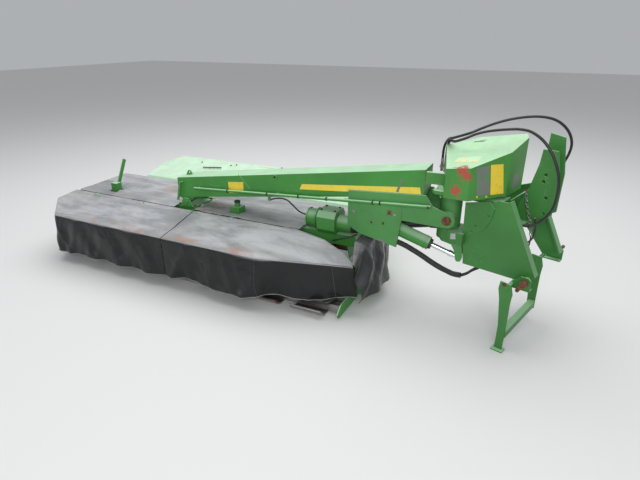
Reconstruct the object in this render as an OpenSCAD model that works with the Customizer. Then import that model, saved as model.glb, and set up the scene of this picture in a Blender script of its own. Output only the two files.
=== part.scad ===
// Mounted disc mower-conditioner with a centre boom, folded back and parked on its stand.
// X runs along the boom from the free end of the mower to the hitch, Y runs from the
// front curtains to the swath outlet, and Z is up. All sizes are in millimetres.

/* [Mower unit] */
// Length of the cutter bar
bar_len = 3120; // [2760:20:3480]
// Depth of the cutter bar
bar_depth = 290; // [250:10:320]
// Height of the cutter bar's gear case
bar_h = 70; // [55:5:80]
// Wear shoe thickness
shoe_t = 14; // [10:1:18]
// Width of one wear shoe
shoe_w = 300; // [220:10:360]
// Side of the square main beam
beam_side = 100; // [80:5:120]
// Height of the main beam's top face
beam_top = 580; // [560:5:620]
// Thickness of the end frames
end_t = 10; // [8:1:14]

/* [Discs] */
// Number of discs
disc_count = 7; // [5:1:8]
// Long diameter of an oval disc
disc_long = 400; // [340:10:420]
// Short diameter of an oval disc
disc_short = 270; // [220:10:290]
// Radius reached by the blade tips
blade_reach = 262; // [230:2:268]
// Width of a blade
blade_w = 46; // [36:2:52]
// Height of the crop drum on the two end discs
drum_h = 190; // [120:10:240]

/* [Conditioner] */
// Radius of the conditioner rotor's tube
rotor_r = 62; // [50:2:76]
// Radius reached by the tines
tine_reach = 228; // [200:2:232]
// Number of V tines in one row along the rotor
tine_count = 22; // [16:1:28]
// Thickness of a tine
tine_t = 12; // [8:1:16]
// Sheet thickness of the hood
hood_t = 5; // [4:1:8]
// Highest point of the hood
hood_top = 776; // [740:4:800]

/* [Boom] */
// Width of the boom's box section
boom_w = 240; // [200:10:260]
// Depth of the box section at the free end
boom_h_out = 200; // [160:10:220]
// Depth of the box section at the hinge end
boom_h_in = 214; // [180:2:240]
// Wall of the box section
boom_wall = 8; // [6:1:12]
// Thickness of the fork plates on the lift pin
fork_t = 16; // [12:1:20]
// Radius of the lift pin
lift_pin_r = 38; // [30:1:42]
// Outer radius of the lift cylinder's barrel
barrel_r = 55; // [46:1:56]
// Radius of the lift cylinder's rod
rod_r = 20; // [16:1:26]

/* [Headstock] */
// Yaw of the headstock against the boom as parked
head_yaw = 16.3; // [12:0.1:18]
// Distance between the two leg plates
leg_gap = 609; // [560:5:640]
// Thickness of the leg plates
leg_t = 12; // [10:1:16]
// Distance between the shoulders of the two lower hitch pins
pin_span = 825; // [800:5:850]
// Radius of the lower hitch pins
hitch_r = 14; // [11:0.5:18]
// Height of the lower hitch pins
hitch_z = 550; // [500:10:600]
// Radius of the top link holes
top_hole_r = 12.75; // [9.5:0.25:16]
// Gap between the top link plates
top_gap = 90; // [60:5:110]
// Thickness of the top link plates
top_t = 14; // [10:1:18]
// Radius of the kingpin
king_r = 35; // [28:1:40]

/* [Guards and tarps] */
// Thickness of the tarpaulin
tarp_t = 6; // [4:1:10]
// Height of the front hem above the ground
hem_z = 122; // [90:2:160]
// Radius of the guard tubes
guard_r = 15; // [12:1:18]

/* [Clearances] */
// Radial running clearance of a pin in its bore
pin_play = 0.1; // [0.05:0.01:0.2]
// Play of the lift rod's eye on its pin, which lets the boom float
eye_float = 3; // [3:0.5:6]
// Gap that keeps a soft piece off what carries it
soft_gap = 0.4; // [0.3:0.1:1]

/* [Hidden] */

green = "#2f8f3a";
light_green = "#6cbf78";
steel = "#8a8d8f";
rust = "#8b4a34";
black = "#1d1d1f";
tarp_grey = "#55585c";
chrome = "#d5d8da";

// the drawing's corner lies at the kink of the front curtain, and this puts it on the origin
free_end = -2623;
hitch_end = 2288;
front_face = -12;
rear_face = 1766;
row_shift = [-(free_end + hitch_end) / 2, -(front_face + rear_face) / 2, 0];

// cutter bar
bar_mid = -890;
bar_x0 = bar_mid - bar_len / 2;
bar_x1 = bar_mid + bar_len / 2;
bar_z0 = shoe_t;
bar_z1 = bar_z0 + bar_h;
bar_y1 = 520;
bar_y0 = bar_y1 - bar_depth;
disc_y = 350;
end_space = blade_reach + 8;
disc_pitch = (bar_len - 2 * end_space) / (disc_count - 1);
disc_x0 = bar_x0 + end_space;
hub_r = 60;
hub_h = 14;
hub_z = bar_z1 + hub_h;
stub_r = 20;
disc_t = 16;

// main beam
beam_y0 = 600;
beam_y1 = beam_y0 + beam_side;
beam_z0 = beam_top - beam_side;
beam_wall = 8;

// conditioner
rotor_y = 952;
rotor_z = 345;
hood_x0 = -2270;
hood_x1 = 490;
hood_plan = [[hood_x0, beam_y1], [hood_x1, beam_y1], [hood_x1, 1500], [hood_x1 - 220, 1760],
    [hood_x0 + 230, 1760], [hood_x0, 1500]];
bearing_r = 26;

// lift pin and kingpin cross at one point over the swing axis
king_x = 1405;
king_y = 700;
lift_z = 866;
boom_y = king_y;
boom_y0 = boom_y - boom_w / 2;
boom_y1 = boom_y + boom_w / 2;
boom_x0 = -1250;
boom_x1 = 1208;
boom_top_out = 884;
boom_top_in = 1244;
fork_in = boom_w / 2;
boss_r = 62;

// tilt pivot under the free end of the boom
saddle_x = -1150;
saddle_z = 652;
saddle_pin_r = 20;

// lift cylinder, from its rear eye on the boom to the rod eye under the hub
cyl_y = boom_y0 + barrel_r + 7;
cyl_a = [817, 766];
cyl_b = [1520, 548];
cyl_vec = cyl_b - cyl_a;
cyl_len = norm(cyl_vec);
cyl_tilt = atan2(-cyl_vec[1], cyl_vec[0]);
eye_r = 20;
rod_pin_r = 16;
barrel_len = 478;

// drive shaft under the boom
shaft_a = [640, 662, 662];
shaft_b = [1296, 820, 745];
shaft_r = 34;

// hub on the kingpin, between the two tongues of the headstock
hub_out_r = 85;
hub_z0 = 794;
hub_z1 = 1040;
tongue_r = 92;
tongue_side = 112;
tongue_z0 = 694;
tongue_z1 = 782;
top_tongue_z0 = 1046;
top_tongue_z1 = 1074;
king_z0 = 662;
arm_t = 26;
cap_r = 120;
cap_z0 = 1082;
guard_z0 = 1098;

// headstock drawn on its own axes: X forward, Y to the left, from the input tower
head_x = 1780;
head_y = 720;
leg_mid = 124.5;
leg_near = leg_mid - leg_gap / 2;
leg_far = leg_mid + leg_gap / 2;
king_from_head = [king_x - head_x, king_y - head_y];
head_king = [king_from_head[0] * cos(head_yaw) - king_from_head[1] * sin(head_yaw),
    king_from_head[0] * sin(head_yaw) + king_from_head[1] * cos(head_yaw)];
input_z = 745;
input_r = 22;
shelf_z = 900;
shelf_t = 12;
pin_x = 330;
ear_out = 54;
ear_t = 10;
stand_x = 240;
stand_z = 515;
stand_pin_r = 10;
stand_near = -330;
stand_far = 290;
stand_t = 12;

// routes of the hoses; one that crosses a joint is drawn in lengths that leave room to turn
hose_r = 10;
sleeve_r = 24;
thin_r = 7;
hose_sides = 10;
port_z = 700;
outer_rise = [[1258, 926, 1235], [1258, 924, 1290], [1262, 912, 1345], [1280, 880, 1402],
    [1315, 820, 1448], [1360, 755, 1470], [1397, 704, 1477]];
inner_rise = [[1290, 900, 1235], [1290, 900, 1305], [1294, 896, 1370], [1306, 878, 1412],
    [1325, 840, 1428], [1350, 790, 1438], [1376, 745, 1445], [1397, 704, 1450]];
outer_route = [[1413, 696, 1487], [1480, 712, 1522], [1560, 745, 1560], [1650, 780, 1598],
    [1750, 815, 1628], [1860, 850, 1646], [1950, 880, 1646], [2030, 915, 1626],
    [2095, 945, 1584], [2143, 968, 1525], [2168, 980, 1456], [2165, 985, 1385],
    [2142, 982, 1310], [2115, 976, 1230], [2095, 972, 1150], [2090, 970, 1085]];
inner_route = [[1413, 696, 1460], [1455, 696, 1484], [1517, 700, 1516], [1590, 696, 1543],
    [1660, 690, 1560], [1740, 675, 1575], [1819, 650, 1586], [1900, 620, 1578],
    [1988, 590, 1525], [2064, 570, 1429], [2116, 560, 1305], [2130, 562, 1182],
    [2115, 572, 1060], [2060, 584, 965], [1990, 583, 918], [1928, 598, 913],
    [1880, 612, 913]];
sleeve_route = [[930, 610, 618], [985, 610, 610], [1040, 610, 596], [1090, 611, 580],
    [1132, 614, 561]];
sleeve_low = [[1196, 624, 527], [1240, 635, 499], [1285, 649, 467], [1330, 667, 435],
    [1381, 689, 401]];
sleeve_rest = [[1429, 698, 380], [1465, 694, 371], [1500, 690, 368], [1545, 684, 372]];
tail_routes = [
    [[1545, 668, 372], [1590, 668, 398], [1630, 670, 436], [1680, 678, 470],
        [1732, 692, 520], [1762, 702, 580], [1768, 710, 640], [1767, 711, port_z]],
    [[1545, 684, 372], [1590, 684, 398], [1630, 686, 436], [1674, 694, 470],
        [1718, 706, 520], [1743, 713, 580], [1748, 716, 640], [1748, 717, port_z]],
    [[1545, 700, 372], [1590, 700, 398], [1630, 703, 436], [1668, 710, 470],
        [1704, 718, 520], [1724, 721, 580], [1729, 722, 640], [1729, 722, port_z]]];
// directions at the ends of routes
up = [0, 0, 1];
inboard = [1, 0, 0];
over_king = [0.8, -0.36, 0.48];
down_to_king = [0.87, 0.14, -0.48];
under_king = [0.85, 0.35, -0.4];
to_rear = [-cos(head_yaw), sin(head_yaw), 0];
to_far = [sin(head_yaw), cos(head_yaw), 0];
breather_x = -164;
breather_route = [[breather_x, 553, 818], [-120, 578, 828], [-70, 596, 830], [-15, 608, 812],
    [35, 620, 765], [85, 632, 718], [130, 645, 697], [166, 655, 694]];
loop_route = [[1872, 622, 887], [1874, 620, 845], [1890, 618, 800], [1925, 620, 768],
    [1965, 628, 758], [2003, 640, 772], [2028, 654, 810], [2034, 668, 860],
    [2030, 682, 905], [2020, 700, 935], [2014, 718, 940]];

module row() { translate(row_shift) children(); }
module head() { row() translate([head_x, head_y, 0]) rotate([0, 0, -head_yaw]) children(); }

// a plate whose outline is given in X and Z, from y0 to y1
module slab_y(points, y0, y1) {
    translate([0, y1, 0]) rotate([90, 0, 0]) linear_extrude(y1 - y0) polygon(points);
}
// a plate whose outline is given in Y and Z, from x0 to x1
module slab_x(points, x0, x1) {
    translate([x0, 0, 0]) rotate([90, 0, 90]) linear_extrude(x1 - x0) polygon(points);
}
// a plate whose outline is given in X and Y, from z0 to z1
module slab_z(points, z0, z1) {
    translate([0, 0, z0]) linear_extrude(z1 - z0) polygon(points);
}
module block(a, b) { translate(a) cube(b - a); }
module rod_x(x0, x1, y, z, r) {
    translate([x0, y, z]) rotate([0, 90, 0]) cylinder(h = x1 - x0, r = r, $fn = 48);
}
module rod_y(x, y0, y1, z, r) {
    translate([x, y0, z]) rotate([-90, 0, 0]) cylinder(h = y1 - y0, r = r, $fn = 48);
}
module rod_z(x, y, z0, z1, r) {
    translate([x, y, z0]) cylinder(h = z1 - z0, r = r, $fn = 48);
}
// a round bar from a to b
module bar(a, b, r) {
    v = b - a;
    translate(a) rotate([0, acos(v[2] / norm(v)), atan2(v[1], v[0])])
        cylinder(h = norm(v), r = r, $fn = 32);
}

function disc_x(i) = disc_x0 + i * disc_pitch;

module cutter_bar() {
    color(steel) row() difference() {
        union() {
            slab_x([[bar_y0, bar_z0 + 16], [bar_y0 + 18, bar_z0], [bar_y1 - 16, bar_z0],
                [bar_y1, bar_z0 + 18], [bar_y1, bar_z1], [bar_y0 + 18, bar_z1],
                [bar_y0, bar_z1 - 16]], bar_x0, bar_x1);
            for (i = [0 : disc_count - 1]) rod_z(disc_x(i), disc_y, bar_z1 - 1, hub_z, hub_r);
        }
        for (i = [0 : disc_count - 1])
            rod_z(disc_x(i), disc_y, bar_z1 - 30, hub_z + 1, stub_r + pin_play);
    }
}

module wear_shoes() {
    color(steel) row() for (i = [0 : disc_count - 1])
        slab_x([[96, 74], [140, 26], [190, 0], [640, 0], [700, 26], [692, 36], [636, shoe_t],
            [196, shoe_t], [150, 34], [106, 82]], disc_x(i) - shoe_w / 2, disc_x(i) + shoe_w / 2);
}

module disc(i) {
    z0 = hub_z + 1;
    color(steel) row() translate([disc_x(i), disc_y, z0]) rotate([0, 0, 90 * (i % 2)]) {
        intersection() {
            cylinder(h = disc_t, r = disc_long / 2, $fn = 64);
            translate([-disc_long, -disc_short / 2, 0]) cube([2 * disc_long, disc_short, disc_t]);
        }
        translate([0, 0, disc_t - 0.5]) cylinder(h = 20.5, r1 = 118, r2 = 70, $fn = 64);
        translate([0, 0, -38]) cylinder(h = 39, r = stub_r, $fn = 48);
        for (s = [-1, 1]) {
            translate([s * (blade_reach + 140) / 2, 0, -2.5])
                cube([blade_reach - 140, blade_w, 5], center = true);
            translate([s * 165, 0, -1]) cylinder(h = disc_t + 8, r = 15, $fn = 24);
        }
        if (i == 0 || i == disc_count - 1) translate([0, 0, disc_t + 19])
            cylinder(h = drum_h, r1 = 110, r2 = 95, $fn = 64);
    }
}
module disc_1() { disc(0); }
module disc_2() { disc(1); }
module disc_3() { disc(2); }
module disc_4() { disc(3); }
module disc_5() { disc(4); }
module disc_6() { disc(5); }
module disc_7() { disc(6); }

module main_beam() {
    color(green) row() difference() {
        block([bar_x0, beam_y0, beam_z0], [bar_x1, beam_y1, beam_top]);
        block([bar_x0 - 1, beam_y0 + beam_wall, beam_z0 + beam_wall],
            [bar_x1 + 1, beam_y1 - beam_wall, beam_top - beam_wall]);
    }
}

// each end frame carries the bar and the beam, and slides on a flat runner
end_outline = [[190, 0], [1100, 0], [1180, 36], [1230, 150], [1230, 420], [1120, beam_top + 10],
    [540, beam_top + 10], [520, 470], [440, 200], [400, 112], [bar_y0, 108], [150, 50]];
side_case = [bar_x1 + end_t, 560, 60];
side_case_size = [90, 120, 500];
module outboard_end_frame() {
    color(green) row() slab_x(end_outline, bar_x0 - end_t, bar_x0);
}
module inboard_end_frame() {
    color(green) row() {
        slab_x(end_outline, bar_x1, bar_x1 + end_t);
        translate(side_case) cube(side_case_size);
    }
}

rotor_x0 = hood_x0 + hood_t + 12;
rotor_len = hood_x1 - hood_x0 - 2 * hood_t - 24;
module conditioner_rotor() {
    color(rust) row() {
        rod_x(rotor_x0, rotor_x0 + rotor_len, rotor_y, rotor_z, rotor_r);
        rod_x(hood_x0, rotor_x0 + 1, rotor_y, rotor_z, bearing_r);
        rod_x(rotor_x0 + rotor_len - 1, hood_x1, rotor_y, rotor_z, bearing_r);
    }
}
// a V tine, seen from the side, with its foot at height 0
v_foot = 12;
v_spread = 34;
v_finger = 12;
module v_tine(h) {
    linear_extrude(tine_t, center = true)
        polygon([[-v_foot, 0], [v_foot, 0], [v_spread, h], [v_spread - v_finger, h], [0, 26],
            [v_finger - v_spread, h], [-v_spread, h]]);
}
// two opposite rows of tines, each on its flat bar along the rotor
tine_bar = [34, 12];
module tine_rows(turn, shift) {
    pitch = (rotor_len - 160) / tine_count;
    foot = rotor_r + soft_gap + tine_bar[1];
    color(rust) row() translate([rotor_x0, rotor_y, rotor_z]) for (side = [0, 180])
        rotate([turn + side, 0, 0]) {
            translate([20, -tine_bar[0] / 2, foot - tine_bar[1]])
                cube([rotor_len - 40, tine_bar[0], tine_bar[1]]);
            for (i = [0 : tine_count - 1]) translate([60 + shift * pitch + i * pitch, 0, foot - 1])
                rotate([90, 0, 0]) v_tine(tine_reach - foot + 1);
        }
}
module upright_tines() { tine_rows(0, 0.25); }
module level_tines() { tine_rows(90, 0.75); }

hood_profile = [[beam_y1, 572], [beam_y1, 596], [1180, 612], [1200, 634],
    [1690, hood_top], [1745, 752], [1760, 640], [1560, 330], [1240, 226], [880, 226]];
hood_hollow = [[beam_y1 - 20, 572 - hood_t], [beam_y1 - 20, 596 - hood_t], [1182, 612 - hood_t],
    [1202, 634 - hood_t], [1689, hood_top - hood_t], [1745 - hood_t, 749 - hood_t],
    [1760 - hood_t, 560], [1800, 560], [1800, -60], [600, -60], [600, 500]];
hood_inside = [[hood_x0 + hood_t, 600], [hood_x1 - hood_t, 600], [hood_x1 - hood_t, 1498],
    [hood_x1 - 222, 1760 - hood_t], [hood_x1 - 222, 1900], [hood_x0 + 232, 1900],
    [hood_x0 + 232, 1760 - hood_t], [hood_x0 + hood_t, 1498]];
module hood_room() {
    intersection() {
        slab_x(hood_hollow, hood_x0, hood_x1);
        slab_z(hood_inside, -80, 900);
    }
}
module conditioner_hood() {
    color(light_green) row() difference() {
        intersection() {
            slab_x(hood_profile, hood_x0, hood_x1);
            slab_z(hood_plan, 0, 900);
        }
        hood_room();
        rod_x(hood_x0 - 1, hood_x1 + 1, rotor_y, rotor_z, bearing_r + pin_play);
        // notch round the gearbox
        block([gear_x0 - 10, beam_y1 - 1, 560], [gear_x1 + 10, 800, 640]);
    }
}

gear_y = 662;
gear_z = 662;
gear_x0 = 170;
gear_x1 = 470;
neck_r = 74;
board_yaw = 22;
module swath_boards() {
    color(green) row() intersection() {
        for (s = [[hood_x0 + 40, -board_yaw], [hood_x1 - 40, board_yaw]])
            translate([s[0], 1200, 0]) rotate([0, 0, s[1]]) translate([-3, 0, 250])
                cube([6, 520, 600]);
        hood_room();
    }
}

module unit_gearbox() {
    color(green) row() {
        rod_x(gear_x0, 301, gear_y, gear_z + 12, 82);
        slab_x([[580, beam_top], [740, beam_top], [780, 622], [780, 730], [740, 780], [582, 780],
            [544, 730], [544, 622]], 300, gear_x1);
        rod_x(gear_x1 - 1, 600, gear_y, gear_z, neck_r);
    }
}
module drive_cone() {
    color(black) row() translate([600, gear_y, gear_z]) rotate([0, 90, 0]) difference() {
        cylinder(h = 66, r1 = neck_r - 2, r2 = 60, $fn = 48);
        translate([0, 0, 8]) cylinder(h = 59, r1 = 64, r2 = 52, $fn = 48);
    }
}

ear_gap = 8;
saddle_y0 = boom_y0 - ear_gap;
saddle_y1 = boom_y1 + ear_gap;
saddle_plate_z = beam_top + 24;
module beam_saddle() {
    color(green) row() {
        block([saddle_x - 70, beam_y0, beam_top], [saddle_x + 70, beam_y1, saddle_plate_z + 1]);
        block([saddle_x - 110, saddle_y0 - 16, saddle_plate_z],
            [saddle_x + 110, saddle_y1 + 16, saddle_plate_z + 10]);
        for (y = [saddle_y0 - 16, saddle_y1])
            slab_y([[saddle_x - 70, saddle_plate_z + 9], [saddle_x + 70, saddle_plate_z + 9],
                [saddle_x + 34, 690], [saddle_x - 34, 690]], y, y + 16);
        rod_y(saddle_x, saddle_y0 - 22, saddle_y1 + 22, saddle_z, saddle_pin_r);
    }
}

module tilt_stop() {
    color(green) row() {
        block([-650, beam_y0, beam_top], [-550, beam_y1, 660]);
        rod_z(-600, beam_y0 + beam_side / 2, 659, 706, 26);
    }
}

module setting_lever() {
    color(green) row() {
        block([-2240, beam_y0 + 20, beam_top], [-2160, beam_y1 - 10, 690]);
        translate([-2200, 680, 650]) rotate([-28, 0, 0]) translate([-6, -20, 0])
            cube([12, 40, 300]);
    }
}

hinge_y = 480;
hinge_z = 588;
hinge_xs = [-2300, -1620, -1060, -940, -560, -240];
module guard_hinges() {
    color(green) row() for (x = hinge_xs) difference() {
        slab_x([[458, 592], [458, 566], [490, 540], [beam_y0, beam_z0 + 20], [beam_y0, beam_top],
            [506, 589], [497, 600], [470, 597]], x - 6, x + 6);
        rod_x(x - 7, x + 7, hinge_y, hinge_z, guard_r + pin_play);
    }
}

// the tarpaulin lies on the hinge tube and on the front tube
front_y = 34;
front_z = 491;
tarp_rise = (hinge_z - front_z) / (hinge_y - front_y);
tarp_lift = guard_r + soft_gap + 0.6 * tarp_t;
ridge_y = hinge_y - tarp_lift * sin(atan(tarp_rise));
ridge_z = hinge_z + tarp_lift * cos(atan(tarp_rise));
edge_z = ridge_z - ridge_y * tarp_rise;
guard_out = [-2580, -1010];
guard_in = [-990, -200];
module guard_tubes(hinge_x, front_x, ribs) {
    rod_x(hinge_x[0], hinge_x[1], hinge_y, hinge_z, guard_r);
    rod_x(front_x[0], front_x[1], front_y, front_z, guard_r);
    for (x = ribs)
        slab_x([[front_y, front_z - 12], [hinge_y, hinge_z - 12], [hinge_y, hinge_z + 10],
            [front_y, front_z + 10]], x - 4, x + 4);
}
// a corner of the guard frame: an upright stub that the tubes run into
module knuckle(p) { rod_z(p[0], p[1], p[2] - guard_r + 1, p[2] + guard_r - 6, guard_r + 3); }
// at the outer corner two thin bars run into a ball, and stop short of its middle; the ball
// is turned so that its seam faces away from them
bar_r = guard_r - 4;
ball_r = bar_r + 3;
bar_short = 6;
module ball(p, turn) { translate(p) rotate([0, 0, turn]) sphere(r = ball_r, $fn = 48); }
module side_bar(from, corner) {
    bar(from, corner - bar_short * unit(corner - from), bar_r);
}
module outboard_guard_frame() {
    front = [-2395, front_y, front_z];
    side = [-2585, 240, 534];
    rear = [-2580, hinge_y, hinge_z];
    color(green) row() {
        guard_tubes([rear[0], guard_out[1]], [front[0], guard_out[1]], [-2360, -1920, -1460, -1020]);
        side_bar(front, side);
        side_bar(rear, side);
        ball(side, 180);
        for (p = [front, rear]) knuckle(p);
    }
}
module inboard_guard_frame() {
    front = [-25, front_y, front_z];
    side = [690, 300, 430];
    rear = [-200, hinge_y, hinge_z];
    color(green) row() {
        guard_tubes([guard_in[0], rear[0]], [guard_in[0], front[0]], [-980, -580, -230]);
        side_bar(front, side);
        side_bar(rear, side);
        ball(side, 0);
        for (p = [front, rear]) knuckle(p);
    }
}

// a flat panel of tarpaulin between four corners
module panel(a, b, c, d) {
    hull() for (p = [a, b, c, d]) translate(p) cube(tarp_t, center = true);
}
module hinge_slots() {
    for (x = hinge_xs) block([x - 12, 450, 560], [x + 12, 500, 640]);
}
out_x = -2617;
module outboard_guard_tarp() {
    color(tarp_grey) row() difference() {
        union() {
            panel([-2400, 0, edge_z], [-1006, 0, edge_z], [-1006, ridge_y, ridge_z],
                [-2400, ridge_y, ridge_z]);
            panel([-2400, 0, edge_z], [out_x, 230, 585], [out_x, ridge_y, ridge_z],
                [-2400, ridge_y, ridge_z]);
            panel([-2400, 0, edge_z], [-1006, 0, edge_z], [-1006, 0, hem_z], [-2400, 0, hem_z]);
            panel([-2400, 0, edge_z], [out_x, 230, 585], [out_x, 230, 140], [-2400, 0, hem_z]);
            panel([out_x, 230, 585], [out_x, ridge_y, ridge_z], [out_x, ridge_y, 160],
                [out_x, 230, 140]);
        }
        hinge_slots();
    }
}
corner_in = [760, 270, 462];
module inboard_guard_tarp() {
    color(tarp_grey) row() difference() {
        union() {
            panel([-994, 0, edge_z], [0, 0, edge_z], [-170, ridge_y, ridge_z],
                [-994, ridge_y, ridge_z]);
            panel([0, 0, edge_z], corner_in, [-170, ridge_y, ridge_z], [0, 0, edge_z]);
            panel([-994, 0, edge_z], [0, 0, edge_z], [0, 0, hem_z], [-994, 0, hem_z]);
            panel([0, 0, edge_z], corner_in, [760, 400, hem_z + 28], [0, 0, hem_z]);
        }
        hinge_slots();
    }
}

// the sheet behind the guards lies on the front of the hood
top_y0 = 512;
top_y1 = 1180;
function top_sheet(up) = [[top_y0, 597 + up], [beam_y1, 596 + up], [top_y1, 612 + up]];
module top_tarp() {
    low = top_sheet(soft_gap);
    high = top_sheet(soft_gap + tarp_t);
    color(tarp_grey) row() difference() {
        slab_x([low[0], low[1], low[2], high[2], high[1], high[0]], out_x, hood_x1);
        block([saddle_x - 125, 500, 500], [saddle_x + 125, saddle_y1 + 40, 700]);
        block([-665, beam_y0 - 12, 500], [-535, beam_y1 + 12, 700]);
        block([-2255, beam_y0, 500], [-2145, beam_y1 + 12, 700]);
        block([gear_x0 - 20, 500, 500], [hood_x1 + 1, 800, 700]);
    }
}
curtain_x = bar_x1 + end_t + side_case_size[0] + soft_gap;
module end_curtains() {
    low = top_sheet(0);
    color(black) row() {
        slab_x([[top_y0, 160], [top_y1, 200], low[2], low[1], low[0]], out_x - 3, out_x + 3);
        block([curtain_x, 430, 130], [curtain_x + tarp_t, 1120, 500]);
    }
}

boom_rate = (boom_top_in - boom_top_out) / (boom_x1 - boom_x0);
depth_rate = (boom_h_in - boom_h_out) / (boom_x1 - boom_x0);
function boom_top(x) = boom_top_out + (x - boom_x0) * boom_rate;
function boom_low(x) = boom_top(x) - boom_h_out - (x - boom_x0) * depth_rate;

eye_x = -1190;
boss_at = [-129, 1022];
module boom_beam() {
    w = boom_wall;
    color(green) row() difference() {
        union() {
            boom_box(w);
            // lifting eye on the free end, and the boss of a bolt in the near side
            slab_y([[eye_x - 40, boom_top(eye_x - 40) - 1], [eye_x + 40, boom_top(eye_x + 40) - 1],
                [eye_x + 14, boom_top(eye_x) + 44], [eye_x - 14, boom_top(eye_x) + 44]],
                boom_y - 6, boom_y + 6);
            rod_y(boss_at[0], boom_y0 - 5, boom_y0 + 1, boss_at[1], 24);
        }
        rod_y(eye_x, boom_y - 7, boom_y + 7, boom_top(eye_x) + 24, 11);
        rod_y(boss_at[0], boom_y0 - 6, boom_y0 + w + 1, boss_at[1], 11);
    }
}
module boom_box(w) {
    difference() {
        slab_y([[boom_x0, boom_low(boom_x0)], [boom_x1, boom_low(boom_x1)], [boom_x1, boom_top_in],
            [boom_x0, boom_top_out]], boom_y0, boom_y1);
        slab_y([[boom_x0 + w, boom_low(boom_x0) + w], [boom_x1 - w, boom_low(boom_x1) + w],
            [boom_x1 - w, boom_top_in - w], [boom_x0 + w, boom_top_out - w]],
            boom_y0 + w, boom_y1 - w);
    }
}

skirt_x0 = 585;
skirt_x1 = 1050;
lap_x = 776;
lap_t = 4;
module boom_fork() {
    color(green) row() {
        for (y0 = [boom_y - fork_in - fork_t, boom_y + fork_in]) difference() {
            union() {
                slab_y([[skirt_x0, boom_low(skirt_x0) + 60], [boom_x1 + 20, 1046],
                    [1290, 962], [king_x + 44, lift_z + 44], [king_x, lift_z - boss_r], [skirt_x1, 812],
                    [skirt_x1 - 30, 570], [690, 640], [skirt_x0, 700]], y0, y0 + fork_t);
                rod_y(king_x, y0, y0 + fork_t, lift_z, boss_r);
            }
            rod_y(king_x, y0 - 1, y0 + fork_t + 1, lift_z, lift_pin_r + pin_play);
        }
        rod_y(cyl_a[0], boom_y - fork_in - fork_t - lap_t - 3, cyl_y + 42, cyl_a[1], eye_r);
        // second plate that laps over the near one, and the clamp of the hose sleeve behind it
        slab_y([[lap_x, 930], [skirt_x1 - 4, 962], [skirt_x1 - 2, 814], [skirt_x1 - 32, 574],
            [lap_x, 626]], boom_y - fork_in - fork_t - lap_t, boom_y - fork_in - fork_t + 1);
        block([sleeve_route[0][0] - 34, boom_y - fork_in - 1, 592],
            [sleeve_route[0][0], 640, 644]);
    }
}

hanger_t = 16;
module boom_hanger() {
    x0 = boom_x0 + 10;
    x1 = boom_x0 + 190;
    color(green) row() for (y = [boom_y0 + 4, boom_y1 - 4 - hanger_t]) difference() {
        union() {
            slab_y([[x0, boom_low(x0)], [x1, boom_low(x1)], [saddle_x + 32, saddle_z],
                [saddle_x - 32, saddle_z]], y, y + hanger_t);
            rod_y(saddle_x, y, y + hanger_t, saddle_z, 32);
        }
        rod_y(saddle_x, y - 1, y + hanger_t + 1, saddle_z, saddle_pin_r + pin_play);
    }
    // lock link that hangs from its pin on the near side of the boom
    color(steel) row() {
        slab_y([[-1202, 852], [-1176, 860], [-1226, 668], [-1252, 662]], 541, 547);
        rod_y(-1190, 536, boom_y0, 846, 9);
    }
}

rail_a = [-1030, 558, 808];
rail_b = [1280, 543, 966];
rail_r = 13;
module support_rail() {
    color(green) row() {
        bar(rail_a, rail_b, rail_r);
        for (x = [-980, -100, 560]) {
            t = (x - rail_a[0]) / (rail_b[0] - rail_a[0]);
            at = rail_a + t * (rail_b - rail_a);
            block([x - 13, at[1], at[2] - 9], [x + 13, boom_y0, at[2] + 9]);
        }
        // clip of the breather hose under the rail
        block([breather_x - 26, 549, 806], [breather_x, 556, 858]);
    }
}

// the shaft runs from the joint in the drive cone to the joint beside the hub
shaft_way = shaft_b - shaft_a;
module on_shaft() {
    row() translate(shaft_a) rotate([0, acos(shaft_way[2] / norm(shaft_way)),
        atan2(shaft_way[1], shaft_way[0])]) children();
}
module shaft_slider() {
    color(steel) on_shaft() {
        cylinder(h = 60, r = 22, $fn = 32);
        translate([0, 0, 50]) cylinder(h = 420, r = shaft_r - 7, $fn = 48);
    }
}
module shaft_tube() {
    color(black) on_shaft() difference() {
        union() {
            translate([0, 0, 330]) cylinder(h = norm(shaft_way) - 340, r = shaft_r, $fn = 48);
            translate([0, 0, norm(shaft_way) - 70]) cylinder(h = 70, r1 = 40, r2 = 48, $fn = 48);
        }
        translate([0, 0, 329]) cylinder(h = 260, r = shaft_r - 7 + pin_play, $fn = 48);
    }
}

// the cylinder on its own axis: X from the rear eye to the rod eye
module on_cylinder() {
    row() translate([cyl_a[0], cyl_y, cyl_a[1]]) rotate([0, cyl_tilt, 0]) children();
}
module lift_barrel() {
    color(green) on_cylinder() difference() {
        union() {
            rod_x(90, barrel_len, 0, 0, barrel_r);
            rod_x(20, 100, 0, 0, 34);
            rod_y(0, -26, 26, 0, 36);
        }
        rod_y(0, -40, 40, 0, eye_r + pin_play);
        rod_x(120, barrel_len + 1, 0, 0, rod_r + pin_play);
    }
}
module lift_rod() {
    color(chrome) on_cylinder() difference() {
        union() {
            rod_x(300, cyl_len - 30, 0, 0, rod_r);
            rod_y(cyl_len, -20, 20, 0, 34);
            rod_x(cyl_len - 90, cyl_len - 56, 0, 0, 26);
        }
        rod_y(cyl_len, -21, 21, 0, rod_pin_r + eye_float);
    }
}

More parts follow.
